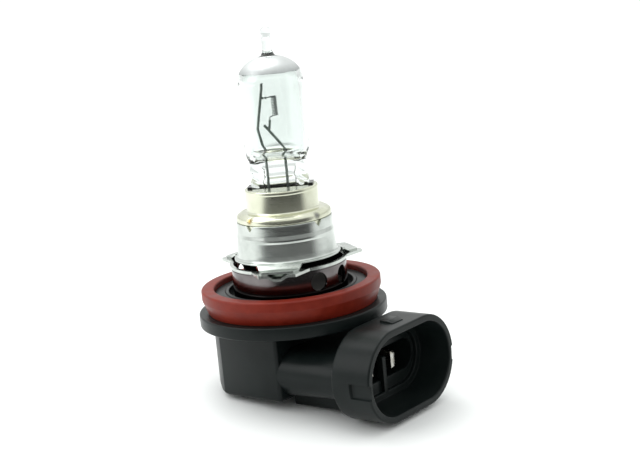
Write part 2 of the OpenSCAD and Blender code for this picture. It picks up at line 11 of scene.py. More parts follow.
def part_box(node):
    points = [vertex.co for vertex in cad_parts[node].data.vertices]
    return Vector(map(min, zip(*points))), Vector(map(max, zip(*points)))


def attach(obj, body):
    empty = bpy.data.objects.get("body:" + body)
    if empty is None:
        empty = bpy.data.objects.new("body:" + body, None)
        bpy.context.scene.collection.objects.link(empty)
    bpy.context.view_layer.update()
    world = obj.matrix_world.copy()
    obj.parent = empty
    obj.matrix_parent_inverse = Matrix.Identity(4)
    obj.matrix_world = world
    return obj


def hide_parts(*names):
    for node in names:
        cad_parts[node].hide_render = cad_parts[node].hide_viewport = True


bl_info = {
    "name": "Headlight bulb",
    "version": (1, 0, 0),
    "blender": (4, 5, 0),
    "location": "View3D > Sidebar > Bulb",
    "description": "Builds a halogen headlight bulb: glass capsule, metal sleeves, seal and plastic base",
    "category": "Object",
}

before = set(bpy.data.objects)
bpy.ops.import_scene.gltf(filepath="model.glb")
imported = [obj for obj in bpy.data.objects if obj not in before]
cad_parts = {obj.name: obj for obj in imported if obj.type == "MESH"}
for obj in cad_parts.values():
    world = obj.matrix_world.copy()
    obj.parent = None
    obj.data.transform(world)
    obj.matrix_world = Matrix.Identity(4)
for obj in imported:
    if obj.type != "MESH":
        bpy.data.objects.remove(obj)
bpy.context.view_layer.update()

BODY = "root"
MM = 0.001
TAU = 2 * np.pi
COLLECTION = bpy.context.scene.collection


def node_box(node):
    """Lowest and highest corners of a CAD node, as two arrays."""
    low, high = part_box(node)
    return np.array(low), np.array(high)


def node_radius(node):
    """Half the width of a round CAD node across Y."""
    low, high = node_box(node)
    return (high[1] - low[1]) / 2


GLASS_BOX = node_box("glass_envelope")
GLASS_R = (GLASS_BOX[1][0] - GLASS_BOX[0][0]) / 2
TIP_Z = GLASS_BOX[1][2]
PRESS_Z = GLASS_BOX[0][2]
COAT_Z = node_box("top_coating")[0][2]
CUP_TOP = node_box("capsule_cup")[1][2]
COLLAR_R = node_radius("base_collar")
SEAL_BOX = node_box("seal_ring")
SEAL_R = node_radius("seal_ring")
FLANGE_R = node_radius("base_housing")
HOUSING_BOX = node_box("base_housing")
MOUTH_X = HOUSING_BOX[1][0]
FOOT_Z = HOUSING_BOX[0][2]
SEAL_BORE = COLLAR_R + 3.1 * MM     # the seal and the deck's well share this radius
FINE_TURN = 480                     # points round a visible metal can
PLAIN_TURN = 220                    # points round the seal and the deck


# ---------------------------------------------------------------- outlines

def smooth(low, high, value):
    """0 below low, 1 above high, and 3t^2 - 2t^3 between them."""
    t = np.clip((value - low) / (high - low), 0, 1)
    return t * t * (3 - 2 * t)


def rounded(corners, steps=5):
    """An open outline through corners, each given as its coordinates and a last number, the corner's radius.

    A corner is cut back by radius / tan(half its angle) along both sides, and an arc that is tangent
    to both joins the cuts."""
    points = np.array([c[:-1] for c in corners], float)
    outline = [points[0]]
    for i in range(1, len(corners) - 1):
        here, radius = points[i], corners[i][-1]
        a, b = points[i - 1] - here, points[i + 1] - here
        la, lb = np.linalg.norm(a), np.linalg.norm(b)
        a, b = a / la, b / lb
        half = np.arccos(np.clip(a @ b, -1, 1)) / 2
        if radius <= 0 or half > 1.5:
            outline.append(here)
            continue
        cut = min(radius / np.tan(half), 0.48 * la, 0.48 * lb)
        centre = here + (a + b) / np.linalg.norm(a + b) * cut / np.cos(half)
        u, v = here + a * cut - centre, here + b * cut - centre
        sweep = np.pi - 2 * half
        t = np.linspace(0, 1, steps + 1)[:, None]
        outline.extend(centre + (np.sin((1 - t) * sweep) * u + np.sin(t * sweep) * v) / np.sin(sweep))
    outline.append(points[-1])
    return np.array(outline)


def refined(outline, step):
    """The same outline with extra points, so that no side is longer than step."""
    parts = []
    for p, q in zip(outline[:-1], outline[1:]):
        count = max(1, int(np.ceil(np.linalg.norm(q - p) / step)))
        parts.append(p + (q - p) * np.linspace(0, 1, count, endpoint=False)[:, None])
    parts.append(outline[-1:])
    return np.concatenate(parts)


def through(points, count):
    """A smooth curve through points.

    Each stretch is the cubic whose end slopes are half the step between the neighbours."""
    p = np.array(points, float)
    p = np.vstack([2 * p[0] - p[1], p, 2 * p[-1] - p[-2]])
    s = np.linspace(0, len(points) - 1 - 1e-9, count)
    i, t = s.astype(int), (s % 1)[:, None]
    a, b, c, d = p[i], p[i + 1], p[i + 2], p[i + 3]
    bend, twist = 2 * a - 5 * b + 4 * c - d, 3 * b - a - 3 * c + d
    return 0.5 * (2 * b + (c - a) * t + bend * t ** 2 + twist * t ** 3)


# ---------------------------------------------------------------- surfaces

def lathe(outline, count=160):
    """Rings of an outline (radius, height) turned about Z: (r cos a, r sin a, z) for every angle a."""
    a = np.linspace(0, TAU, count, endpoint=False)
    r, z = outline[:, 0, None], outline[:, 1, None]
    return np.stack([r * np.cos(a), r * np.sin(a), z + 0 * a], -1)


def rail_section(half_w, half_h, straight=14, arc=120):
    """Points (y, z) round a rail: straights along Y joined by half circles of radius half_h."""
    run = half_w - half_h
    a = np.linspace(-np.pi / 2, np.pi / 2, arc, endpoint=False)
    s = np.linspace(-1, 1, straight, endpoint=False)
    right = np.stack([run + half_h * np.cos(a), half_h * np.sin(a)], -1)
    top = np.stack([-s * run, half_h + 0 * s], -1)
    return np.concatenate([right, top, -right, -top])


def rail_loft(stations, centre_z):
    """Rings of rail sections: each station is (x, half width, half height) about the line z = centre_z."""
    rings = []
    for x, half_w, half_h in stations:
        section = rail_section(half_w, half_h)
        rings.append(np.column_stack([np.full(len(section), x), section[:, 0], centre_z + section[:, 1]]))
    return np.array(rings)


def block_section(half_w, low, high, radius, steps=6):
    """Points (y, z) round an upright block with rounded corners, counter-clockwise seen from +X."""
    a = np.linspace(0, np.pi / 2, steps + 1)
    corners = [(half_w - radius, low + radius, -1), (half_w - radius, high - radius, 0),
               (radius - half_w, high - radius, 1), (radius - half_w, low + radius, 2)]
    arcs = []
    for y, z, quarter in corners:
        b = a + quarter * np.pi / 2
        arcs.append(np.stack([y + radius * np.cos(b), z + radius * np.sin(b)], -1))
    return np.concatenate(arcs)


def tube(path, radius, side, count=12):
    """Rings round a path: centre + radius (n cos a + b sin a).

    n is square to the path and as near to side as it can be, and b is square to both."""
    tangent = np.gradient(path, axis=0)
    tangent /= np.linalg.norm(tangent, axis=1)[:, None]
    side = np.broadcast_to(np.asarray(side, float), path.shape)
    n = side - (side * tangent).sum(1)[:, None] * tangent
    n /= np.linalg.norm(n, axis=1)[:, None]
    b = np.cross(tangent, n)
    a = np.linspace(0, TAU, count, endpoint=False)[None, :, None]
    radius = np.broadcast_to(np.asarray(radius, float), len(path))[:, None, None]
    return path[:, None] + radius * (n[:, None] * np.cos(a) + b[:, None] * np.sin(a))


def turned(rings, degrees):
    """The same rings turned about Z."""
    a = np.radians(degrees)
    turn = np.array([[np.cos(a), np.sin(a), 0], [-np.sin(a), np.cos(a), 0], [0, 0, 1]])
    return rings @ turn


def skin(rings, loop=False):
    """Vertices and faces over rings of points: ring i joins ring i + 1 and each ring is closed on itself.

    With loop the last ring joins the first; otherwise each end is closed by a fan to its middle."""
    m, n, _ = rings.shape
    ids = np.arange(m * n).reshape(m, n)
    low = ids if loop else ids[:-1]
    high = np.roll(ids, -1, 0) if loop else ids[1:]
    quads = np.stack([low, np.roll(low, -1, 1), np.roll(high, -1, 1), high], -1).reshape(-1, 4)
    points = rings.reshape(-1, 3)
    faces = quads.tolist()
    if not loop:
        points = np.vstack([points, rings[0].mean(0), rings[-1].mean(0)])
        first, last = ids[0], ids[-1]
        faces += np.stack([np.roll(first, -1), first, np.full(n, m * n)], -1).tolist()
        faces += np.stack([last, np.roll(last, -1), np.full(n, m * n + 1)], -1).tolist()
    return points, faces


def piece(name, shells, finish, replaces=(), crease=40):
    """One object from closed shells, at the origin, riding on the bulb's body."""
    points, faces, start = [], [], 0
    for shell_points, shell_faces in shells:
        points.append(shell_points)
        faces += [[start + i for i in face] for face in shell_faces]
        start += len(shell_points)
    mesh = bpy.data.meshes.new(name)
    mesh.from_pydata(np.concatenate(points).tolist(), [], faces)
    mesh.shade_smooth()
    mesh.set_sharp_from_angle(angle=np.radians(crease))
    mesh.materials.append(finish)
    mesh.validate()
    obj = bpy.data.objects.new(name, mesh)
    COLLECTION.objects.link(obj)
    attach(obj, BODY)
    if replaces:
        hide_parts(*replaces)
    return obj


def refinish(node, finish):
    """Gives a CAD node that keeps its own mesh a finish."""
    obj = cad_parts[node]
    obj.data.materials.clear()
    obj.data.materials.append(finish)


# ---------------------------------------------------------------- finishes

def paint(name):
    """A colour of the settings, as red, green and blue."""
    return tuple(getattr(bpy.context.scene.bulb_colours, name))


class Finish:
    """A node material round one Principled shader, with short calls for the patterns it needs."""

    def __init__(self, name, color, metallic=0.0, roughness=0.5, **sockets):
        self.material = bpy.data.materials.new(name)
        self.material.use_nodes = True
        self.tree = self.material.node_tree
        self.shader = self.tree.nodes["Principled BSDF"]
        self.place = self.add("ShaderNodeTexCoord").outputs["Object"]
        self.set("Base Color", (*color, 1))
        self.set("Metallic", metallic)
        self.set("Roughness", roughness)
        for socket, value in sockets.items():
            self.set(socket.replace("_", " "), value)

    def set(self, socket, value):
        self.shader.inputs[socket].default_value = value

    def add(self, kind, **settings):
        node = self.tree.nodes.new(kind)
        for key, value in settings.items():
            setattr(node, key, value)
        return node

    def link(self, output, target):
        self.tree.links.new(output, target)

    def noise(self, size, detail=4, stretch=(1, 1, 1), rough=0.55):
        """Noise whose grain is about size metres, divided along each axis by stretch."""
        mapping = self.add("ShaderNodeMapping")
        mapping.inputs["Scale"].default_value = [s / size for s in stretch]
        self.link(self.place, mapping.inputs["Vector"])
        node = self.add("ShaderNodeTexNoise")
        node.inputs["Scale"].default_value = 1
        node.inputs["Detail"].default_value = detail
        node.inputs["Roughness"].default_value = rough
        self.link(mapping.outputs["Vector"], node.inputs["Vector"])
        return node.outputs["Fac"]

    def height(self):
        """The height above the lug plane, in metres."""
        split = self.add("ShaderNodeSeparateXYZ")
        self.link(self.place, split.inputs["Vector"])
        return split.outputs["Z"]

    def radius(self):
        """The distance from the bulb axis, in metres."""
        flat = self.add("ShaderNodeVectorMath", operation="MULTIPLY")
        flat.inputs[1].default_value = (1, 1, 0)
        self.link(self.place, flat.inputs[0])
        length = self.add("ShaderNodeVectorMath", operation="LENGTH")
        self.link(flat.outputs["Vector"], length.inputs[0])
        return length.outputs["Value"]

    def span(self, value, low, high, start=0.0, end=1.0):
        """value carried from the range low to high onto start to end, and held beyond it."""
        node = self.add("ShaderNodeMapRange")
        for socket, number in zip(("From Min", "From Max", "To Min", "To Max"), (low, high, start, end)):
            node.inputs[socket].default_value = number
        self.link(value, node.inputs["Value"])
        return node.outputs["Result"]

    def math(self, operation, a, b):
        """One sum on two values, either of which may be a number."""
        node = self.add("ShaderNodeMath", operation=operation)
        for socket, value in zip(node.inputs, (a, b)):
            if isinstance(value, (int, float)):
                socket.default_value = value
            else:
                self.link(value, socket)
        return node.outputs["Value"]

    def spot(self, centre, radius):
        """1 at a point and 0 beyond radius from it."""
        node = self.add("ShaderNodeVectorMath", operation="DISTANCE")
        node.inputs[1].default_value = centre
        self.link(self.place, node.inputs[0])
        return self.span(node.outputs["Value"], radius, radius * 0.3)

    def color(self, factor, first, second):
        """Base colour between first and second by factor; first may be the output of an earlier call."""
        node = self.add("ShaderNodeMix", data_type="RGBA")
        self.link(factor, node.inputs["Factor"])
        for socket, value in ((node.inputs["A"], first), (node.inputs["B"], second)):
            if isinstance(value, tuple):
                socket.default_value = (*value, 1)
            else:
                self.link(value, socket)
        self.link(node.outputs["Result"], self.shader.inputs["Base Color"])
        return node.outputs["Result"]

    def rough(self, value, low, high):
        """Roughness that runs from low to high with a noise value."""
        self.link(self.span(value, 0.3, 0.7, low, high), self.shader.inputs["Roughness"])

    def bump(self, value, depth, strength=1.0):
        """Relief of about depth metres."""
        node = self.add("ShaderNodeBump")
        node.inputs["Strength"].default_value = strength
        node.inputs["Distance"].default_value = depth
        self.link(value, node.inputs["Height"])
        self.link(node.outputs["Normal"], self.shader.inputs["Normal"])


def clear_glass():
    """Hard glass with a faint green-grey tint and the slight waviness of worked tube."""
    f = Finish("Clear_glass", paint("glass"), roughness=0.0, IOR=1.5, Transmission_Weight=1.0)
    f.bump(f.noise(2.6 * MM, 2), 0.012 * MM, 0.5)
    return f.material


def silver_coat():
    """Reflective paint: a fine metallic film, greyer along its lower edge."""
    f = Finish("Silver_coat", paint("coat"), metallic=0.8, roughness=0.4)
    grain = f.noise(0.35 * MM, 5)
    edge = f.span(f.height(), COAT_Z, COAT_Z + 1.3 * MM, 1.0, 0.0)
    # The coating turns greyer towards its lower edge, broken up by the grain.
    edge_grey = f.math("MULTIPLY", edge, f.span(grain, 0.3, 0.7, 0.7, 1.0))
    f.color(edge_grey, paint("coat"), paint("coat_edge"))
    f.rough(grain, 0.34, 0.48)
    f.bump(grain, 0.01 * MM, 0.6)
    return f.material


def sheet_metal(name, key, low, high, ring_lines=1.0):
    """Drawn sheet: fine lines round the axis and soft clouds between two tones of the settings."""
    light, dark = paint(key), paint(key + "_dull")
    f = Finish(name, light, metallic=1.0, roughness=(low + high) / 2)
    lines = f.noise(1.0 * MM, 6, (0.25, 0.25, 9.0), 0.65)
    clouds = f.noise(3.2 * MM, 3)
    f.shade = f.color(f.span(clouds, 0.35, 0.75), light, dark)
    f.rough(f.math("MULTIPLY", f.math("ADD", lines, clouds), 0.5), low, high)
    f.bump(lines, 0.004 * MM * ring_lines, 0.6)
    return f


def bright_steel():
    """Bright drawn steel of the sleeve, its tabs and the lug ring."""
    return sheet_metal("Bright_steel", "bright_steel", 0.12, 0.28).material


def dark_steel():
    """Polished steel outside, with a near-black painted shade on the inner wall."""
    f = sheet_metal("Dark_steel", "dark_steel", 0.08, 0.18, 0.5)
    # Painted shade: the collar's inner wall is coloured near black, as if in shadow inside the bore.
    inner_wall_shade = f.span(f.radius(), COLLAR_R - 0.25 * MM, COLLAR_R - 0.45 * MM)
    f.color(inner_wall_shade, f.shade, paint("collar_painted_shade"))
    return f.material


def wire_metal(name, key, low, high):
    """Drawn wire: short scratches, and patches of dull oxide between two tones of the settings."""
    light, dark = paint(key), paint(key + "_dull")
    f = Finish(name, light, metallic=1.0, roughness=low)
    patches = f.noise(0.6 * MM, 4)
    f.color(f.span(patches, 0.35, 0.7), light, dark)
    f.rough(patches, low, high)
    f.bump(f.noise(0.12 * MM, 3), 0.006 * MM, 0.5)
    return f.material


def red_silicone():
    """Brick-red silicone with a fine dull bloom and a soft sheen."""
    f = Finish("Red_silicone", paint("silicone"), roughness=0.4, Specular_IOR_Level=0.22)
    bloom = f.noise(2.4 * MM, 5)
    grain = f.noise(0.18 * MM, 3)
    f.color(f.span(bloom, 0.35, 0.75), paint("silicone"), paint("silicone_bloom"))
    f.rough(bloom, 0.36, 0.5)
    f.bump(grain, 0.01 * MM, 0.5)
    return f.material


def black_plastic():
    """Glass-filled moulding: near black with a green cast, fine grain and faint flow marks."""
    f = Finish("Black_plastic", paint("plastic"), roughness=0.32, Specular_IOR_Level=0.16)
    flow = f.noise(5.0 * MM, 3)
    grain = f.noise(0.09 * MM, 3)
    f.color(f.span(flow, 0.3, 0.75), paint("plastic"), paint("plastic_flow"))
    f.rough(flow, 0.28, 0.38)
    f.bump(grain, 0.012 * MM, 0.55)
    return f.material


def tinned_brass():
    """Tin plate on brass, with smears along the blade where the brass shows through."""
    f = Finish("Tinned_brass", paint("tin"), metallic=1.0, roughness=0.25)
    smears = f.noise(0.8 * MM, 4, (0.3, 1, 1))
    f.color(f.span(smears, 0.4, 0.7), paint("tin"), paint("brass"))
    f.rough(smears, 0.18, 0.34)
    f.bump(smears, 0.004 * MM, 0.5)
    return f.material


def moulded_ceramic():
    """Dull, grainy insulator in the collar."""
    f = Finish("Moulded_ceramic", paint("ceramic"), roughness=0.7)
    grain = f.noise(0.4 * MM, 5)
    f.color(grain, paint("ceramic"), paint("ceramic_grain"))
    f.rough(grain, 0.6, 0.8)
    f.bump(grain, 0.02 * MM, 0.5)
    return f.material


# ---------------------------------------------------------------- settings

def size(name, value, text):
    """A length property in metres."""
    return bpy.props.FloatProperty(name=name, description=text, default=value, min=0.0,
                                   subtype="DISTANCE", unit="LENGTH")


def angle(name, degrees, text):
    """An angle property, its default given in degrees."""
    return bpy.props.FloatProperty(name=name, description=text, default=np.radians(degrees),
                                   subtype="ANGLE", unit="ROTATION")


def tone(name, rgb, text):
    """A colour property in linear red, green and blue."""
    return bpy.props.FloatVectorProperty(name=name, description=text, default=rgb, size=3,
                                         min=0.0, max=1.0, subtype="COLOR")


class BulbGlass(bpy.types.PropertyGroup):
    wall: size("Glass wall", 0.8 * MM, "Wall thickness of the glass tube")
    shoulder: size("Shoulder height", 19.2 * MM, "Height at which the press has become a round tube")
    press_top: size("Press height", 16.0 * MM, "Height at which the flat press starts to open into the tube")
    press_w: size("Press half width", 4.6 * MM, "Half the width of the flat press")
    press_t: size("Press half thickness", 1.7 * MM, "Half the thickness of the press at its edges")
    web_t: size("Web half thickness", 1.15 * MM, "Half the thickness of the press between its edges")
    press_turn: angle("Press turn", 34, "Direction of the wide side of the press about the bulb axis")
    dome_z: size("Dome start", 29.6 * MM, "Height at which the tube starts to close")
    dome_h: size("Dome height", 4.1 * MM, "Height of the dome above its start")
    nib_r: size("Tip radius", 0.8 * MM, "Radius of the sealed tip")
    coat_t: size("Coating thickness", 0.06 * MM, "Thickness of the reflective coating")


class BulbWires(bpy.types.PropertyGroup):
    coil_d: size("Coil diameter", 1.0 * MM, "Outer diameter of the coiled filament")
    coil_low: size("Coil bottom", 23.9 * MM, "Height of the filament's lower end")
    coil_high: size("Coil top", 27.1 * MM, "Height of the filament's upper end")
    coil_s: size("Coil offset", 0.25 * MM, "Offset of the filament from the bulb axis, along the press")
    wire_d: size("Coil wire", 0.2 * MM, "Diameter of the filament's wire")
    lead_d: size("Lead wire", 0.45 * MM, "Diameter of the support leads")
    coil_turns: bpy.props.IntProperty(name="Turns", description="Turns of the filament",
                                      default=11, min=4, max=20)


class BulbMetal(bpy.types.PropertyGroup):
    sheet: size("Sheet", 0.35 * MM, "Thickness of the cup and sleeve sheet")
    cup_r: size("Cup radius", 5.92 * MM, "Outer radius of the capsule cup")
    cup_top: size("Cup top", 12.5 * MM, "Height of the cup's lid")
    slot_w: size("Slot half width", 4.95 * MM, "Half the width of the lid's slot")
    slot_t: size("Slot half thickness", 1.75 * MM, "Half the thickness of the lid's slot")
    shoulder_z: size("Shoulder", 8.85 * MM, "Height at which the cup's wall meets its shoulder")
    seam_z: size("Seam", 7.35 * MM, "Height of the seam between cup and sleeve")
    sleeve_r: size("Sleeve radius", 7.82 * MM, "Outer radius of the sleeve at the seam")
    lip_z: size("Lip height", 1.1 * MM, "Height of the underside of the sleeve's lip")
    ring_t: size("Ring sheet", 0.45 * MM, "Thickness of the lug ring")
    rib_w: size("Rib half width", 1.65 * MM, "Half the width of the V rib under each lug")
    rib_h: size("Rib depth", 0.62 * MM, "Depth of the V rib")
    ring_w: size("Ring width", 0.6 * MM, "Width of the lug ring between its lugs")
    bead_z: size("Bead height", 4.95 * MM, "Height of the widest part of the sleeve's bead")
    mark_turn: angle("Weld turn", -6.8, "Direction of the first of four welds between cup and sleeve")


class BulbBase(bpy.types.PropertyGroup):
    deck_z: size("Deck depth", 4.1 * MM, "Depth of the moulded deck below the lug plane")
    moat: size("Moat width", 0.75 * MM, "Width of the gap between collar and deck")
    flange_t: size("Flange thickness", 2.1 * MM, "Thickness of the flange")
    body_r: size("Body radius", 13.3 * MM, "Radius of the lower body")
    front_x: size("Front", 5.3 * MM, "Distance from the axis to the flat front of the lower body")
    body_z: size("Body depth", 20.2 * MM, "Depth of the flat underside below the lug plane")
    side_y: size("Side", 11.65 * MM, "Distance from the axis to the flat sides of the lower body")
    body_wall: size("Body wall", 2.1 * MM, "Wall of the lower body round its terminal chamber")
    body_round: size("Foot rounding", 1.4 * MM, "Rounding of the lower body's bottom edge at its round back")
    side_round: size("Side rounding", 0.6 * MM, "Rounding of the bottom edge along the flat sides")
    shroud_x: size("Shroud back", 15.9 * MM, "Distance from the axis to the back of the shroud")
    shroud_w: size("Shroud half width", 11.75 * MM, "Half the width of the shroud")
    shroud_h: size("Shroud half height", 7.4 * MM, "Half the height of the shroud")
    shroud_wall: size("Shroud wall", 1.1 * MM, "Wall of the shroud at its mouth")
    neck_h: size("Neck half height", 3.9 * MM, "Half the height of the neck at the body")
    neck_end: size("Neck end half height", 3.35 * MM, "Half the height of the neck at the shroud")
    ledge_x: size("Ledge", 5.4 * MM, "Depth of the socket's ledge behind the mouth")
    ledge_y: size("Ledge half width", 10.1 * MM, "Half the width of the socket at its ledge")
    ledge_h: size("Ledge half height", 5.45 * MM, "Half the height of the socket at its ledge")
    inner_y: size("Inner half width", 9.05 * MM, "Half the width of the socket behind its ledge")
    inner_h: size("Inner half height", 4.4 * MM, "Half the height of the socket behind its ledge")
    web_y: size("Web half width", 7.0 * MM, "Half the width of the web under the neck")
    web_z: size("Web depth", 22.0 * MM, "Depth of the web's underside below the lug plane")
    slot_in: size("Slot depth", 0.6 * MM, "Depth of the key slots in the shroud's sides")


class BulbStage(bpy.types.PropertyGroup):
    floor_tilt: angle("Floor tilt", 6.35, "Angle between the lug plane and the floor under two lower edges")
    azimuth: angle("Camera azimuth", -51.2, "Direction of the camera about the bulb axis")
    elevation: angle("Camera elevation", 11.784, "Height of the camera above the lug plane, as an angle")
    roll: angle("Camera roll", -5.587, "Turn of the camera about its line of sight")
    distance: size("Camera distance", 242.18 * MM, "Distance from the camera to the aim point")
    aim_z: size("Aim height", 9.7 * MM, "Height of the aim point on the bulb axis")
    offset_r: bpy.props.FloatProperty(name="Camera right", description="Sideways offset of the camera",
                                      default=6.054 * MM, subtype="DISTANCE", unit="LENGTH")
    offset_u: bpy.props.FloatProperty(name="Camera up", description="Upward offset of the camera",
                                      default=-5.592 * MM, subtype="DISTANCE", unit="LENGTH")
    lens: bpy.props.FloatProperty(name="Lens", description="Focal length in millimetres", default=83.96)


class BulbColours(bpy.types.PropertyGroup):
    glass: tone("Glass", (0.85, 0.885, 0.87), "Tint of the capsule's glass")
    coat: tone("Coating", (0.63, 0.65, 0.645), "Reflective paint on the dome")
    coat_edge: tone("Coating edge", (0.36, 0.38, 0.38), "Reflective paint along its lower edge")
    bright_steel: tone("Bright steel", (0.60, 0.63, 0.60), "Sleeve, tabs and lug ring")
    bright_steel_dull: tone("Bright steel, dull", (0.42, 0.45, 0.425), "Clouds on the bright steel")
    dark_steel: tone("Dark steel", (0.18, 0.165, 0.165), "Outside of the collar")
    dark_steel_dull: tone("Dark steel, dull", (0.12, 0.108, 0.11), "Clouds on the collar")
    # Painted shade for the collar's inner wall, a near black standing in for shadow in the bore.
    collar_painted_shade: tone("Collar inside", (0.02, 0.02, 0.02), "Inner wall of the collar")
    warm_nickel: tone("Warm nickel", (0.69, 0.70, 0.57), "Capsule cup")
    warm_nickel_dull: tone("Warm nickel, dull", (0.55, 0.56, 0.43), "Clouds on the cup")
    weld_a: tone("First weld", (0.2, 0.2, 0.19), "Heat stain of the first weld")
    weld_b: tone("Second weld", (0.5, 0.42, 0.2), "Heat stain of the second weld")
    weld_c: tone("Third weld", (0.4, 0.36, 0.3), "Heat stain of the third weld")
    weld_d: tone("Fourth weld", (0.36, 0.25, 0.05), "Heat stain of the fourth weld")
    clip_steel: tone("Clip steel", (0.6, 0.6, 0.58), "Clip that holds the press")
    clip_steel_dull: tone("Clip steel, dull", (0.45, 0.45, 0.44), "Clouds on the clip")
    # Painted shade on the clip where it runs under the cup's lid.
    clip_shade_under_lid: tone("Clip, hidden part", (0.06, 0.06, 0.06), "Clip beyond the slot in the cup's lid")
    molybdenum: tone("Molybdenum", (0.36, 0.4, 0.375), "Support leads, leg sleeves and foils")
    molybdenum_dull: tone("Molybdenum, dull", (0.23, 0.26, 0.24), "Oxide on the leads")
    tungsten: tone("Tungsten", (0.5, 0.52, 0.51), "Filament")
    tungsten_dull: tone("Tungsten, dull", (0.34, 0.355, 0.35), "Oxide on the filament")
    nickel_wire: tone("Nickel wire", (0.6, 0.59, 0.55), "Lead tails below the press")
    nickel_wire_dull: tone("Nickel wire, dull", (0.45, 0.44, 0.4), "Oxide on the lead tails")
    silicone: tone("Silicone", (0.155, 0.011, 0.004), "Seal")
    silicone_bloom: tone("Silicone bloom", (0.22, 0.02, 0.008), "Dull bloom on the seal")
    plastic: tone("Plastic", (0.0045, 0.007, 0.0068), "Base housing and bottom cover")
    plastic_flow: tone("Plastic flow marks", (0.009, 0.0125, 0.012), "Flow marks in the housing")
    tin: tone("Tin", (0.52, 0.51, 0.48), "Plating of the terminals")
    brass: tone("Brass", (0.4, 0.37, 0.3), "Brass that shows through the plating")
    ceramic: tone("Ceramic", (0.08, 0.075, 0.07), "Insulator in the collar")
    ceramic_grain: tone("Ceramic grain", (0.14, 0.13, 0.12), "Grain of the insulator")
    floor: tone("Floor", (0.9, 0.915, 0.91), "Sheet under the bulb")
    floor_fibre: tone("Floor fibres", (0.93, 0.94, 0.935), "Fibres of the sheet")
    room: tone("Room", (0.98, 1.0, 0.99), "Light of the room")


# ---------------------------------------------------------------- glass

def dome_point(radius, height, base, a):
    """(r, z) on a quarter ellipse: radius cos a, base + height sin a."""
    return np.stack([radius * np.cos(a), base + height * np.sin(a)], -1)


def press_rings(zs, half_w, half_t, power, web, turn, folds=0.0):
    """Rings at heights zs whose section is |x / half_w|^power + |y / half_t|^power = 1.

    web is the share of the thickness that is left in the middle of the section. folds adds the soft
    wrinkles that the jaws leave: products of two sines of the width and the height."""
    a = np.linspace(0, TAU, 160, endpoint=False)[None]
    half_w, half_t, power, web = (np.broadcast_to(v, len(zs))[:, None] for v in (half_w, half_t, power, web))
    x = half_w * np.sign(np.cos(a)) * np.abs(np.cos(a)) ** (2 / power)
    y = half_t * np.sign(np.sin(a)) * np.abs(np.sin(a)) ** (2 / power)
    y = y * (web + (1 - web) * smooth(0.52, 0.72, np.abs(x) / half_w))
    fold = 0.13 * MM * np.broadcast_to(folds, len(zs))[:, None]
    z = zs[:, None]
    slanted = np.sin(TAU * (x / (2.3 * MM) + z / (3.4 * MM)))
    y = y + fold * np.sign(y) * slanted * np.sin(TAU * z / (2.1 * MM))
    x = x + fold * np.sign(x) * np.sin(TAU * z / (2.6 * MM) + 1)
    rings = np.stack([x, y, z + 0 * a], -1)
    return turned(rings, np.degrees(turn))


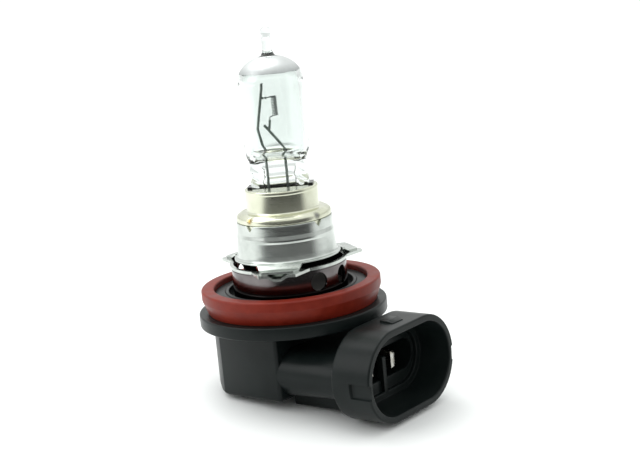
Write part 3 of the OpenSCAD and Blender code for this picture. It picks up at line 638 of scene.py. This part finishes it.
class BULB_OT_glass(bpy.types.Operator):
    """Glass capsule: a flat press that opens into a round tube, a dome and a sealed tip, with its hollow"""
    bl_idname = "bulb.glass"
    bl_label = "Glass capsule"

    def execute(self, context):
        p = context.scene.bulb_glass
        r, coat, nib_r = GLASS_R, p.coat_t, p.nib_r
        turn = np.degrees(p.press_turn)
        # Outside: press and shoulder, then tube, dome, tip
        zs = np.concatenate([[PRESS_Z, PRESS_Z + 0.15 * MM],
                             np.linspace(PRESS_Z + 0.4 * MM, CUP_TOP - 0.4 * MM, 6),
                             np.linspace(CUP_TOP - 0.2 * MM, p.shoulder, 60)])
        open_up = smooth(p.press_top, p.shoulder, zs)
        belly = smooth(p.press_top + 0.5 * MM, p.shoulder - 0.3 * MM, zs)
        nose = 1 - 0.06 * (zs < PRESS_Z + 0.1 * MM)
        half_w = (p.press_w + (r - p.press_w) * open_up) * nose
        half_t = (p.press_t + (r - p.press_t) * belly) * nose
        web = 1 - (1 - p.web_t / p.press_t) * (1 - belly) ** 3
        folds = smooth(CUP_TOP - 0.3 * MM, CUP_TOP + 0.6 * MM, zs) * (1 - belly) ** 2
        low = press_rings(zs, half_w, half_t, 2 + 6 * (1 - belly) ** 2, web, p.press_turn, folds)
        dome_end = 1.27                 # angle, in radians, at which the dome gives way to the tip
        dome = dome_point(r - coat, p.dome_h - coat, p.dome_z, np.linspace(0, dome_end, 26))
        top_z = p.dome_z + p.dome_h - coat
        nib = rounded([
            (*dome[-1], 0), (nib_r + 0.35 * MM, top_z - 0.05 * MM, 0.5 * MM),
            (nib_r * 0.95, top_z + 0.7 * MM, 0.9 * MM), (nib_r * 0.95, top_z + 2.4 * MM, 0.6 * MM),
            (nib_r * 0.82, top_z + 2.9 * MM, 0.5 * MM), (nib_r * 0.99, top_z + 3.5 * MM, 0.6 * MM),
            (nib_r * 0.92, TIP_Z - 0.3 * MM, 0.4 * MM), (nib_r * 0.5, TIP_Z - 0.02 * MM, 0.3 * MM),
            (0.02 * MM, TIP_Z - 0.01 * MM, 0)])
        straight = np.array([[r, p.shoulder + 0.5 * MM], [r, p.dome_z - 0.8 * MM],
                             [r, p.dome_z - 0.4 * MM], [r - coat * 0.5, p.dome_z - 0.1 * MM]])
        high = turned(lathe(np.concatenate([straight, dome, nib[1:]])), turn)
        outside = np.concatenate([low, high])
        # Inside: the hollow, run from the top down so that its faces look into it
        ri, wall = r - p.wall, p.wall
        zi = np.linspace(p.press_top + 1.15 * MM, p.shoulder + 0.7 * MM, 22)
        grow = np.clip((zi - zi[0]) / (zi[-1] - zi[0]), 0, 1)
        ease = np.sqrt(1 - (1 - grow) ** 2)
        hollow = press_rings(zi, ri * (0.72 + 0.28 * ease), ri * (0.06 + 0.94 * ease ** 1.3),
                             2 + 2 * (1 - ease), 1.0, p.press_turn)
        roof = dome_point(ri, p.dome_h - wall, p.dome_z, np.linspace(0, 1.5, 22))
        upper = turned(lathe(np.concatenate([[[ri, p.dome_z - 2 * MM]], roof])), turn)
        hollow = np.concatenate([hollow, upper])
        piece("glass_capsule", [skin(outside), skin(hollow[::-1])], clear_glass(),
              ["glass_envelope"], 60)
        # Coating: a closed skin on the dome whose lower edge wanders a little, as a dipped edge does
        a = np.linspace(0, TAU, 240, endpoint=False)
        wander = (0.02 * np.sin(3 * a + 0.6) + 0.012 * np.sin(8 * a + 2)
                  + 0.008 * np.sin(19 * a) + 0.006 * np.sin(43 * a + 1))
        start = np.arcsin((COAT_Z + 0.12 * MM - p.dome_z) / p.dome_h) + 0.5 * wander
        coat_end = dome_end - 0.008
        lift = start + (coat_end - start) * np.linspace(0, 1, 24)[:, None]
        rows = []
        for radius, height in ((r, p.dome_h), (r - coat, p.dome_h - coat)):
            rows.append(np.stack([radius * np.cos(lift) * np.cos(a), radius * np.cos(lift) * np.sin(a),
                                  p.dome_z + height * np.sin(lift)], -1))
        coating = skin(np.concatenate([rows[0], rows[1][::-1]]), loop=True)
        piece("dome_coating", [coating], silver_coat(), ["top_coating"])
        return {"FINISHED"}


# ---------------------------------------------------------------- wires

def in_press(points, turn):
    """Points in millimetres, (along the press, height) or (along, across, height), in the bulb's frame."""
    points = np.array(points, float) * MM
    if points.shape[1] == 2:
        points = np.column_stack([points[:, 0], 0 * points[:, 0], points[:, 1]])
    return turned(points, np.degrees(turn))


class BULB_OT_wires(bpy.types.Operator):
    """Filament, its leg sleeves and the two bent support leads"""
    bl_idname = "bulb.wires"
    bl_label = "Filament and leads"

    def execute(self, context):
        p = context.scene.bulb_wires
        turn = context.scene.bulb_glass.press_turn
        across = (-np.sin(turn), np.cos(turn), 0)
        molybdenum = wire_metal("Molybdenum", "molybdenum", 0.36, 0.5)
        tungsten = wire_metal("Tungsten", "tungsten", 0.32, 0.45)
        upright = (0, 0, 1)
        # Filament: a helix, one pitch a turn, with a leg at each end
        coil_r, wire_r = (p.coil_d - p.wire_d) / 2, p.wire_d / 2
        turns = p.coil_turns + 0.5
        a = np.linspace(np.pi, np.pi + TAU * turns, int(36 * turns))
        helix = np.column_stack([p.coil_s + coil_r * np.cos(a), coil_r * np.sin(a),
                                 np.linspace(p.coil_low + 0.1 * MM, p.coil_high - 0.1 * MM, len(a))])
        helix = turned(helix, np.degrees(turn))
        s_high = (p.coil_s + coil_r) / MM
        s_low = (p.coil_s - coil_r) / MM
        upper_leg = through([(s_high, 0, 26.98), (s_high - 0.25, 0.42, 27.04), (-0.3, 0.25, 27.0),
                             (-0.75, 0.06, 26.93), (-1.25, 0, 26.92), (-1.95, 0, 26.9)], 40)
        lower_leg = through([(s_low, 0, 24.0), (s_low - 0.12, 0.05, 23.9), (-0.5, 0.02, 23.84),
                             (-0.66, 0, 23.7), (-0.72, 0, 23.1)], 24)
        wires = [skin(tube(helix, wire_r, upright, 10)),
                 skin(tube(in_press(upper_leg, turn), wire_r, upright, 10)),
                 skin(tube(in_press(lower_leg, turn), wire_r, across, 10))]
        piece("coiled_filament", wires, tungsten, ["filament"], 60)
        # Crimped sleeves: a long one down the lower leg, and two short ones on the upper leg
        long_sleeve = through([(-0.71, 23.3), (-0.76, 22.9), (-0.86, 22.3), (-1.0, 21.5)], 20)
        sleeves = [skin(tube(in_press(long_sleeve, turn), p.lead_d * 0.46, across, 16))]
        crimp_r = np.array([0.12, 0.2, 0.2, 0.12]) * MM
        for s in (-1.5, -1.0):
            crimp = in_press([(s + ds, 26.91) for ds in (-0.14, -0.1, 0.1, 0.14)], turn)
            sleeves.append(skin(tube(crimp, crimp_r, upright, 14)))
        piece("filament_sleeves", sleeves, molybdenum, ["leg_sleeves"], 60)
        # Support leads: straight lengths with tight bends, square-cut at the free end
        routes = (
            ("long_support", "long_lead",
             [(-1.42, 29.2, 0), (-2.84, 21.95, 0.9), (-1.97, 17.7, 1.2), (-1.9, 11.87, 0)]),
            ("short_support", "short_lead",
             [(-1.72, 22.55, 0), (0.75, 19.25, 1.4), (1.2, 17.6, 1.2), (1.2, 11.87, 0)]),
        )
        for name, node, points in routes:
            path = in_press(refined(rounded(points, 8), 0.5), turn)
            lead = skin(tube(path[::-1], p.lead_d / 2, across, 20))
            piece(name, [lead], molybdenum, [node], 60)
        for node in ("long_foil", "short_foil"):
            refinish(node, molybdenum)
        nickel = wire_metal("Nickel_wire", "nickel_wire", 0.25, 0.4)
        for node in ("long_tail", "short_tail"):
            refinish(node, nickel)
        return {"FINISHED"}


# ---------------------------------------------------------------- metal

class BULB_OT_cup(bpy.types.Operator):
    """Capsule cup with its slotted lid, rounded shoulder and weld spots, and the clip that holds the press"""
    bl_idname = "bulb.cup"
    bl_label = "Capsule cup"

    def execute(self, context):
        p = context.scene.bulb_metal
        r, t, seam = p.cup_r, p.sheet, p.seam_z
        bulge = p.sleeve_r - 0.1 * MM
        skirt = p.sleeve_r - t - 0.03 * MM
        low = node_box("capsule_cup")[0][2]
        rim = p.cup_top
        lid_r = r + 0.06 * MM
        step = p.shoulder_z
        outside = [
            (skirt, low, 0), (skirt, seam - 0.1 * MM, 0.05 * MM), (bulge, seam + 0.12 * MM, 0.15 * MM),
            (bulge, step - 0.55 * MM, 0.6 * MM), (bulge - 0.85 * MM, step - 0.06 * MM, 0.7 * MM),
            (r, step, 0.3 * MM), (r, rim - 0.68 * MM, 0.12 * MM), (lid_r, rim - 0.5 * MM, 0.12 * MM),
            (lid_r, rim, 0.4 * MM), (r - 0.9 * MM, rim, 0)]
        inside = [
            (r - 0.9 * MM, rim - t, 0), (r - t, rim - t, 0.2 * MM), (r - t, step - t, 0.3 * MM),
            (bulge - t - 0.6 * MM, step - t, 0.4 * MM), (bulge - t, seam + 0.1 * MM, 0.2 * MM),
            (skirt - t, seam - 0.2 * MM, 0.2 * MM), (skirt - t, low, 0)]
        outer, inner = (lathe(rounded(profile, 6), FINE_TURN) for profile in (outside, inside))
        # Slot in the lid: at angle a from the press its edge lies at the smaller of
        # half width / |cos a| and half thickness / |sin a| from the axis
        turn = context.scene.bulb_glass.press_turn
        a = np.linspace(0, TAU, FINE_TURN, endpoint=False)
        edge = np.minimum(p.slot_w / np.maximum(np.abs(np.cos(a - turn)), 1e-6),
                          p.slot_t / np.maximum(np.abs(np.sin(a - turn)), 1e-6))
        slot = [np.stack([edge * np.cos(a), edge * np.sin(a), rim - down + 0 * a], -1)[None]
                for down in (0, t)]
        rings = np.concatenate([outer, *slot, inner])
        # A shallow weld dimple beside each notch of the sleeve
        weld_z, dent_depth, dent_r, stain_r = seam + 0.85 * MM, 0.16 * MM, 0.42 * MM, 0.8 * MM
        a = np.arctan2(rings[..., 1], rings[..., 0])
        for k in range(4):
            off = np.angle(np.exp(1j * (a - p.mark_turn - k * np.pi / 2))) * bulge
            up = rings[..., 2] - weld_z
            dent = dent_depth * np.exp(-(off ** 2 + up ** 2) / dent_r ** 2)
            facing_out = np.hypot(rings[..., 0], rings[..., 1]) > skirt - 0.1 * MM
            rings[..., :2] *= (1 - dent * facing_out / bulge)[..., None]
        f = sheet_metal("Warm_nickel", "warm_nickel", 0.16, 0.3)
        shade = f.shade
        for k, weld in enumerate(("weld_a", "weld_b", "weld_c", "weld_d")):
            turn = p.mark_turn + k * np.pi / 2
            centre = (bulge * np.cos(turn), bulge * np.sin(turn), weld_z)
            shade = f.color(f.math("MULTIPLY", f.spot(centre, stain_r), 0.9), shade, paint(weld))
        piece("capsule_holder", [skin(rings, loop=True)], f.material, ["capsule_cup"], 50)
        clip = sheet_metal("Clip_steel", "clip_steel", 0.14, 0.3)
        # Painted shade: past the slot's edge, where the clip runs under the lid, it is coloured near black.
        under_lid_shade = clip.span(clip.radius(), p.slot_w - 0.5 * MM, p.slot_w)
        clip.color(under_lid_shade, clip.shade, paint("clip_shade_under_lid"))
        refinish("press_clip", clip.material)
        return {"FINISHED"}


class BULB_OT_sleeve(bpy.types.Operator):
    """Focus sleeve: a can with a raised ring, four V notches in its rim, a lip and three tabs"""
    bl_idname = "bulb.sleeve"
    bl_label = "Focus sleeve"

    def execute(self, context):
        p = context.scene.bulb_metal
        r, t, seam, lip = p.sleeve_r, p.sheet, p.seam_z, p.lip_z
        foot_r = r + 0.26 * MM
        lip_r = foot_r + 0.64 * MM
        bead = p.bead_z
        outside = [
            (foot_r - t, lip + 0.75 * MM, 0), (foot_r - 0.05 * MM, lip + 0.02 * MM, 0.3 * MM),
            (lip_r, lip, 0.16 * MM), (lip_r, lip + t, 0.16 * MM),
            (foot_r + 0.12 * MM, lip + t + 0.03 * MM, 0.35 * MM), (foot_r, lip + 0.95 * MM, 0.4 * MM),
            (r + 0.1 * MM, bead - 0.5 * MM, 0.2 * MM), (r + 0.15 * MM, bead - 0.2 * MM, 0.2 * MM),
            (r + 0.15 * MM, bead + 0.1 * MM, 0.12 * MM), (r, bead + 0.7 * MM, 0.2 * MM),
            (r, seam, 0.1 * MM), (r - t, seam, 0.1 * MM)]
        inside = [(r - t, bead + 0.6 * MM, 0.2 * MM), (r + 0.12 * MM - t, bead - 0.2 * MM, 0.2 * MM)]
        outline = refined(rounded(outside + inside + [(*outside[0][:2], 0)], 5), 0.5 * MM)[:-1]
        rings = lathe(outline, FINE_TURN)
        # V notches: at four places the rim dips by depth x (1 - |offset| / half width)
        notch_depth, notch_w = 1.0 * MM, 0.8 * MM
        a = np.arctan2(rings[..., 1], rings[..., 0])
        z = rings[..., 2]
        near_rim = smooth(seam - 1.6 * MM, seam, z)
        for k in range(4):
            off = np.abs(np.angle(np.exp(1j * (a - p.mark_turn - k * np.pi / 2)))) * r
            z = z - notch_depth * np.clip(1 - off / notch_w, 0, 1) * near_rim
        rings[..., 2] = z
        steel = bright_steel()
        piece("sleeve_can", [skin(rings, loop=True)], steel, ["focus_sleeve"], 50)
        # Tabs: a rounded strip swept from the lip down onto each lug
        end_r = COLLAR_R + 1.7 * MM
        on_lug = p.ring_t + t / 2
        path = refined(rounded([
            (foot_r + 0.1 * MM, lip + t / 2, 0), (lip_r - 0.1 * MM, lip + t / 2 - 0.02 * MM, 0.4 * MM),
            (COLLAR_R + 0.2 * MM, on_lug, 0.5 * MM), (end_r, on_lug, 0)], 6), 0.3 * MM)
        half_widths = (3.7 * MM, 3.55 * MM, 2.55 * MM)
        width = np.interp(path[:, 0], (foot_r, lip_r, end_r), half_widths)
        section = block_section(1.0, -1.0, 1.0, 0.02)
        ring = np.stack([path[:, 0, None] + 0 * section[:, 0], width[:, None] * section[:, 0],
                         path[:, 1, None] + t / 2 * section[:, 1]], -1)
        tabs = [skin(turned(ring, angle_deg)) for angle_deg in (60, 180, 300)]
        piece("sleeve_tabs", tabs, steel, crease=30)
        return {"FINISHED"}


class BULB_OT_lug_ring(bpy.types.Operator):
    """Lug ring: a thin plate with three lugs and a V rib pressed down under each"""
    bl_idname = "bulb.lug_ring"
    bl_label = "Lug ring"

    def execute(self, context):
        p = context.scene.bulb_metal
        t = p.ring_t
        plain = COLLAR_R + 0.15 * MM
        inner = plain - p.ring_w
        tip = COLLAR_R + 2.4 * MM
        root_half, tip_half = 4.1 * MM, 3.0 * MM
        fall = (root_half - tip_half) / (tip - plain)
        # Outer edge: the plain circle, or a lug's tip line or sloping side where that lies further out
        a = np.linspace(0, TAU, 1080, endpoint=False)
        off = np.angle(np.exp(1j * 3 * (a - np.pi / 3))) / 3
        side = (root_half + plain * fall) / (np.sin(np.abs(off)) + fall * np.cos(off))
        edge = np.maximum(plain, np.minimum(tip / np.cos(off), side))
        # Section loop: along the underside outwards, round the edge, back along the top
        across = np.concatenate([[0, 0.08], np.linspace(0.2, 0.97, 22), [1]])
        share = np.concatenate([across, across[::-1]])[:, None]
        r = inner + (edge - inner) * share
        z = np.repeat([0.0, t], len(across))[:, None] + 0 * a
        beside = np.abs(r * np.sin(off))
        on_lug = smooth(plain + 0.15 * MM, plain + 0.5 * MM, r)
        z = z - p.rib_h * np.clip((p.rib_w - beside) / (p.rib_w * 0.7), 0, 1) * on_lug
        rings = np.stack([r * np.cos(a), r * np.sin(a), z], -1)
        piece("lug_plate", [skin(rings, loop=True)], bright_steel(), ["lug_ring"], 40)
        return {"FINISHED"}


class BULB_OT_collar(bpy.types.Operator):
    """Polished collar and the insulating disc inside it"""
    bl_idname = "bulb.collar"
    bl_label = "Collar"

    def execute(self, context):
        refinish("base_collar", dark_steel())
        refinish("insulator", moulded_ceramic())
        return {"FINISHED"}


# ---------------------------------------------------------------- base

class BULB_OT_seal(bpy.types.Operator):
    """Silicone seal: a full round ring with a rounded top, a sealing land and a tapered foot"""
    bl_idname = "bulb.seal"
    bl_label = "Seal"

    def execute(self, context):
        low, top = SEAL_BOX[0][2], SEAL_BOX[1][2]
        r = SEAL_R
        corners = [(SEAL_BORE, low, 0), (r - 0.85 * MM, low, 0.12 * MM),
                   (r - 0.75 * MM, low + 0.3 * MM, 0.2 * MM), (r, top - 1.6 * MM, 0.5 * MM),
                   (r, top, 0.34 * MM), (SEAL_BORE, top, 0.3 * MM), (SEAL_BORE, low, 0)]
        rings = lathe(rounded(corners, 7)[:-1], PLAIN_TURN)
        piece("silicone_seal", [skin(rings, loop=True)], red_silicone(), ["seal_ring"], 60)
        return {"FINISHED"}


def d_outline(radius, side, front, inset):
    """A disc of that radius cut flat at y = -side, y = side and x = front, drawn in by inset on the flats.

    The two front corners are rounded, and the round back is an arc between the ends of the flats."""
    side, front = side - inset, front - inset
    corner = max(0.6 * MM - inset, 0.05 * MM)
    lean = math.asin(side / radius)
    arc = np.linspace(np.pi - lean, np.pi + lean, 90)
    back = np.stack([radius * np.cos(arc), radius * np.sin(arc)], -1)
    first = rounded([(front, 0, 0), (front, side, corner), (*back[0], 0)], 6)
    last = rounded([(*back[-1], 0), (front, -side, corner), (front, 0, 0)], 6)
    return np.concatenate([first[:-1], back, last[1:-1]])


def prism_y(outline, half_w, bevel):
    """An outline (x, z) carried across Y, its two ends drawn in by a small bevel."""
    middle = outline.mean(0)
    rings = []
    for y, pull in ((half_w, bevel), (half_w - bevel, 0), (bevel - half_w, 0), (-half_w, bevel)):
        span = np.linalg.norm(outline - middle, axis=1)[:, None]
        section = outline - (outline - middle) / span * pull
        rings.append(np.column_stack([section[:, 0], np.full(len(section), y), section[:, 1]]))
    return np.array(rings)


class BULB_OT_housing(bpy.types.Operator):
    """Base housing: deck, flange, D-shaped lower body, neck, shroud, web, latch catch and divider rib"""
    bl_idname = "bulb.housing"
    bl_label = "Base housing"

    def execute(self, context):
        p = context.scene.bulb_base
        flange_top = SEAL_BOX[0][2]
        flange_low = flange_top - p.flange_t
        line_z = FOOT_Z + p.shroud_h        # height of the shroud's middle line
        # Deck, moat and flange, turned about the bulb axis
        moat = COLLAR_R + p.moat
        deck = -p.deck_z
        moat_floor, well_floor = deck - 1.0 * MM, deck - 1.65 * MM
        axis_r, well_r = 0.05 * MM, COLLAR_R - 0.3 * MM
        turned_outline = rounded([
            (axis_r, flange_low + 0.1 * MM, 0), (p.body_r - 1 * MM, flange_low + 0.1 * MM, 0),
            (p.body_r - 0.5 * MM, flange_low, 0), (FLANGE_R, flange_low, 0.3 * MM),
            (FLANGE_R, flange_top, 0.28 * MM), (SEAL_BORE, flange_top, 0), (SEAL_BORE, deck, 0.3 * MM),
            (moat + 0.6 * MM, deck, 0.15 * MM), (moat + 0.5 * MM, deck + 0.2 * MM, 0.15 * MM),
            (moat, deck + 0.2 * MM, 0.12 * MM), (moat, moat_floor, 0), (well_r, moat_floor, 0),
            (well_r, well_floor, 0), (axis_r, well_floor, 0)], 6)
        shells = [skin(lathe(turned_outline, PLAIN_TURN))]
        # Lower body: D sections down to a rounded foot, then the recess for the bottom cover
        rings = []
        levels = [(0.0, 0.0, None)]
        for v in np.linspace(0, np.pi / 2, 9):
            levels.append((p.body_round * (1 - np.cos(v)), p.side_round * (1 - np.cos(v)), 1 - np.sin(v)))
        wall, recess = p.body_wall, 1.4 * MM
        levels += [(wall, wall, 0.0), (wall, wall, recess / p.side_round)]
        for inset, side_inset, rise in levels:
            outline = d_outline(p.body_r - inset, p.side_y, p.front_x, side_inset)
            if rise is None:
                z = np.full(len(outline), flange_low + 0.3 * MM)
            else:
                beside = np.abs(outline[:, 1])
                at_back = smooth(p.side_y - 0.6 * MM, p.side_y - 1.8 * MM, beside) * (outline[:, 0] < 0)
                z = rise * (p.side_round + (p.body_round - p.side_round) * at_back) - p.body_z
            rings.append(np.column_stack([outline, z]))
        shells.append(skin(np.array(rings)[::-1]))
        # Neck and shroud: one loft of rail sections from inside the body out, round the mouth and back in
        w, h, sw = p.shroud_w, p.shroud_h, p.shroud_wall
        ledge = MOUTH_X - p.ledge_x
        inner = p.shroud_x + 1 * MM
        tunnel_x, tunnel_w, tunnel_h = MOUTH_X - 13.4 * MM, p.inner_y - 0.5 * MM, 2.45 * MM
        stations = refined(rounded([
            (p.front_x - 1 * MM, w - 0.1 * MM, p.neck_h, 0),
            (p.shroud_x, w - 0.45 * MM, p.neck_end, 0.5 * MM), (p.shroud_x, w, h, 0.45 * MM),
            (MOUTH_X, w, h, 0.32 * MM), (MOUTH_X, w - sw, h - sw, 0.28 * MM),
            (ledge, p.ledge_y, p.ledge_h, 0.12 * MM), (ledge, p.inner_y, p.inner_h, 0.2 * MM),
            (inner, p.inner_y, p.inner_h, 0.12 * MM), (inner, tunnel_w, tunnel_h, 0.2 * MM),
            (tunnel_x, tunnel_w, tunnel_h, 0)], 6), 0.22 * MM)
        rings = rail_loft(stations, line_z)
        # Key slots: the side is cut back to a flat floor near the mouth, just below the middle line,
        # on the rings that come before the mouth's inner edge
        x, y, z = (rings[..., k] for k in range(3))
        edge_rings = 4
        outer = np.arange(len(rings))[:, None] < np.argmax(stations[:, 0] > MOUTH_X - 0.05 * MM) + edge_rings
        slot_x, low, high = MOUTH_X - 3.6 * MM, line_z - 1.8 * MM, line_z + 0.5 * MM
        edge = 0.06 * MM
        mask = smooth(slot_x - edge, slot_x + edge, x) * smooth(low - edge, low + edge, z)
        mask = mask * (1 - smooth(high - edge, high + edge, z)) * outer
        rings[..., 1] = y - np.sign(y) * mask * np.maximum(0, np.abs(y) - (w - p.slot_in))
        shells.append(skin(rings))
        # Web under the neck, down to the underside
        xs = np.linspace(p.front_x - 1 * MM, p.shroud_x + 0.6 * MM, 14)
        section = block_section(p.web_y, -p.web_z, line_z - p.neck_end + 0.8 * MM, 0.6 * MM)
        web = [np.column_stack([np.full(len(section), x0), section]) for x0 in xs]
        shells.append(skin(np.array(web)))
        # Latch catch on top of the shroud
        top = line_z + h
        sunk, crest = top - 0.3 * MM, top + 0.4 * MM
        start = MOUTH_X - 2.0 * MM
        end = start - 2.6 * MM
        catch = rounded([
            (end, sunk, 0), (start, sunk, 0), (start, top + 0.1 * MM, 0.05 * MM),
            (start - 1.1 * MM, crest, 0.15 * MM), (end, crest, 0.15 * MM), (end, sunk, 0)], 4)[:-1]
        shells.append(skin(prism_y(catch[::-1], 1.4 * MM, 0.12 * MM)))
        # Divider rib in the socket
        back = p.shroud_x + 0.5 * MM
        sunk, rib_top = line_z - p.inner_h - 0.2 * MM, line_z + 1.42 * MM
        rib = rounded([(back, sunk, 0), (ledge, sunk, 0), (ledge, rib_top, 0.3 * MM),
                       (back, rib_top, 0), (back, sunk, 0)], 4)[:-1]
        shells.append(skin(prism_y(rib[::-1], 0.45 * MM, 0.1 * MM)))
        plastic = black_plastic()
        piece("moulded_base", shells, plastic, ["base_housing"], 38)
        refinish("bottom_cover", plastic)
        brass = tinned_brass()
        for node in ("left_terminal", "right_terminal"):
            refinish(node, brass)
        return {"FINISHED"}


# ---------------------------------------------------------------- stage

def camera_axes(p):
    """Unit vectors to the camera, to its right and up, from azimuth, elevation and roll."""
    a, e, r = p.azimuth, p.elevation, p.roll
    back = Vector((math.cos(a) * math.cos(e), math.sin(a) * math.cos(e), math.sin(e)))
    right = Vector((-math.sin(a), math.cos(a), 0))
    up = back.cross(right)
    return back, right * math.cos(r) + up * math.sin(r), up * math.cos(r) - right * math.sin(r)


def soft_light(name, direction, distance, width, height, power, target):
    """A rectangular area light that faces target from a direction."""
    light = bpy.data.lights.new(name, "AREA")
    light.shape = "RECTANGLE"
    light.size, light.size_y, light.energy = width, height, power
    obj = bpy.data.objects.new(name, light)
    direction = Vector(direction).normalized()
    obj.location = target + direction * distance
    obj.rotation_euler = direction.to_track_quat("Z", "Y").to_euler()
    COLLECTION.objects.link(obj)
    return obj


class BULB_OT_stage(bpy.types.Operator):
    """Camera, pale floor under the bulb's lower edges, room that is dimmer at the front, soft lights"""
    bl_idname = "bulb.stage"
    bl_label = "Stage"

    def execute(self, context):
        p, base = context.scene.bulb_stage, context.scene.bulb_base
        back, right, up = camera_axes(p)
        camera = bpy.data.cameras.new("Camera")
        camera.lens, camera.sensor_width = p.lens, 36
        camera.clip_start = 0.005
        view = bpy.data.objects.new("Camera", camera)
        place = Vector((0, 0, p.aim_z)) + back * p.distance + right * p.offset_r + up * p.offset_u
        view.matrix_world = Matrix.Translation(place) @ Matrix((right, up, back)).transposed().to_4x4()
        COLLECTION.objects.link(view)
        context.scene.camera = view
        # Floor: a wide sheet, tilted to touch the back of the shroud and the rim of the lower body
        normal = Vector((math.sin(p.floor_tilt), 0, math.cos(p.floor_tilt)))
        touch = Vector((base.shroud_x, 0, FOOT_Z)) - normal * 0.02 * MM
        ahead = (back - normal * back.dot(normal)).normalized()
        aside = normal.cross(ahead)
        near, far, wide = 0.075, -2.5, 2
        corners = [touch + ahead * i + aside * j
                   for i, j in ((far, -wide), (near, -wide), (near, wide), (far, wide))]
        mesh = bpy.data.meshes.new("floor")
        mesh.from_pydata([tuple(c) for c in corners], [], [(0, 1, 2, 3)])
        floor = bpy.data.objects.new("floor", mesh)
        COLLECTION.objects.link(floor)
        paper = Finish("Paper_floor", paint("floor"), roughness=0.6)
        paper.color(paper.noise(4 * MM, 4), paint("floor"), paint("floor_fibre"))
        mesh.materials.append(paper.material)
        # Room: white all round, dimmer in the direction of the camera
        world = bpy.data.worlds.new("Room")
        context.scene.world = world
        world.use_nodes = True
        tree = world.node_tree
        background = tree.nodes["Background"]
        add, link = tree.nodes.new, tree.links.new
        where = add("ShaderNodeTexCoord").outputs["Generated"]
        split = add("ShaderNodeSeparateXYZ")
        link(where, split.inputs[0])
        level = add("ShaderNodeVectorMath")
        level.operation = "MULTIPLY"
        level.inputs[1].default_value = (1, 1, 0)
        link(where, level.inputs[0])
        unit = add("ShaderNodeVectorMath")
        unit.operation = "NORMALIZE"
        link(level.outputs["Vector"], unit.inputs[0])
        facing = add("ShaderNodeVectorMath")
        facing.operation = "DOT_PRODUCT"
        facing.inputs[1].default_value = Vector((back.x, back.y, 0)).normalized()
        link(unit.outputs["Vector"], facing.inputs[0])

        def step(value, *numbers):
            """A smooth step of value from one range to another."""
            node = add("ShaderNodeMapRange")
            node.interpolation_type = "SMOOTHSTEP"
            for socket, number in zip(("From Min", "From Max", "To Min", "To Max"), numbers):
                node.inputs[socket].default_value = number
            link(value, node.inputs["Value"])
            return node.outputs["Result"]

        def join(operation, one, two):
            """One sum on two values."""
            node = add("ShaderNodeMath")
            node.operation = operation
            link(one, node.inputs[0])
            link(two, node.inputs[1])
            return node.outputs["Value"]

        height = split.outputs["Z"]
        front = join("MULTIPLY", step(facing.outputs["Value"], 0.08, 0.6, 0.0, 1.0),
                     step(height, 0.3, 0.62, 1.0, 0.0))
        front = join("MULTIPLY", front, step(height, -0.17, -0.05, 1.0, 0.62))
        glow = join("MULTIPLY", step(front, 0.0, 1.0, 1.0, 0.07), step(height, -0.05, 0.45, 0.82, 1.15))
        seen = add("ShaderNodeLightPath")
        link(join("MAXIMUM", glow, seen.outputs["Is Camera Ray"]), background.inputs["Strength"])
        background.inputs["Color"].default_value = (*paint("room"), 1)
        # Lights
        target = Vector((0, 0, 0))
        left, over = -right, Vector((0, 0, 1))
        soft_light("Left_softbox", left * 1.0 + back * 0.35 + over * 0.45, 0.45, 0.3, 0.3, 0.5, target)
        soft_light("Top_softbox", over * 1.0 - back * 0.3 + left * 0.2, 0.5, 0.4, 0.4, 1.2, target)
        context.scene.view_settings.view_transform = "Standard"
        return {"FINISHED"}


# ---------------------------------------------------------------- add-on

STEPS = (BULB_OT_stage, BULB_OT_glass, BULB_OT_wires, BULB_OT_cup, BULB_OT_sleeve, BULB_OT_lug_ring,
         BULB_OT_collar, BULB_OT_seal, BULB_OT_housing)
GROUPS = {"bulb_glass": BulbGlass, "bulb_wires": BulbWires, "bulb_metal": BulbMetal,
          "bulb_base": BulbBase, "bulb_stage": BulbStage, "bulb_colours": BulbColours}


class BULB_PT_panel(bpy.types.Panel):
    """Lists the operators that build the bulb, with its sizes and colours"""
    bl_idname = "BULB_PT_panel"
    bl_label = "Headlight bulb"
    bl_space_type = "VIEW_3D"
    bl_region_type = "UI"
    bl_category = "Bulb"

    def draw(self, context):
        for step in STEPS:
            self.layout.operator(step.bl_idname)
        for key, group in GROUPS.items():
            box = self.layout.box()
            for name in group.__annotations__:
                box.prop(getattr(context.scene, key), name)


def register():
    for cls in (*GROUPS.values(), *STEPS, BULB_PT_panel):
        bpy.utils.register_class(cls)
    for key, group in GROUPS.items():
        setattr(bpy.types.Scene, key, bpy.props.PointerProperty(type=group))


def unregister():
    for key in GROUPS:
        delattr(bpy.types.Scene, key)
    for cls in (BULB_PT_panel, *STEPS[::-1], *list(GROUPS.values())[::-1]):
        bpy.utils.unregister_class(cls)


def main():
    register()
    for step in STEPS:
        getattr(bpy.ops.bulb, step.bl_idname.split(".")[1])()


if __name__ == "__main__":
    main()
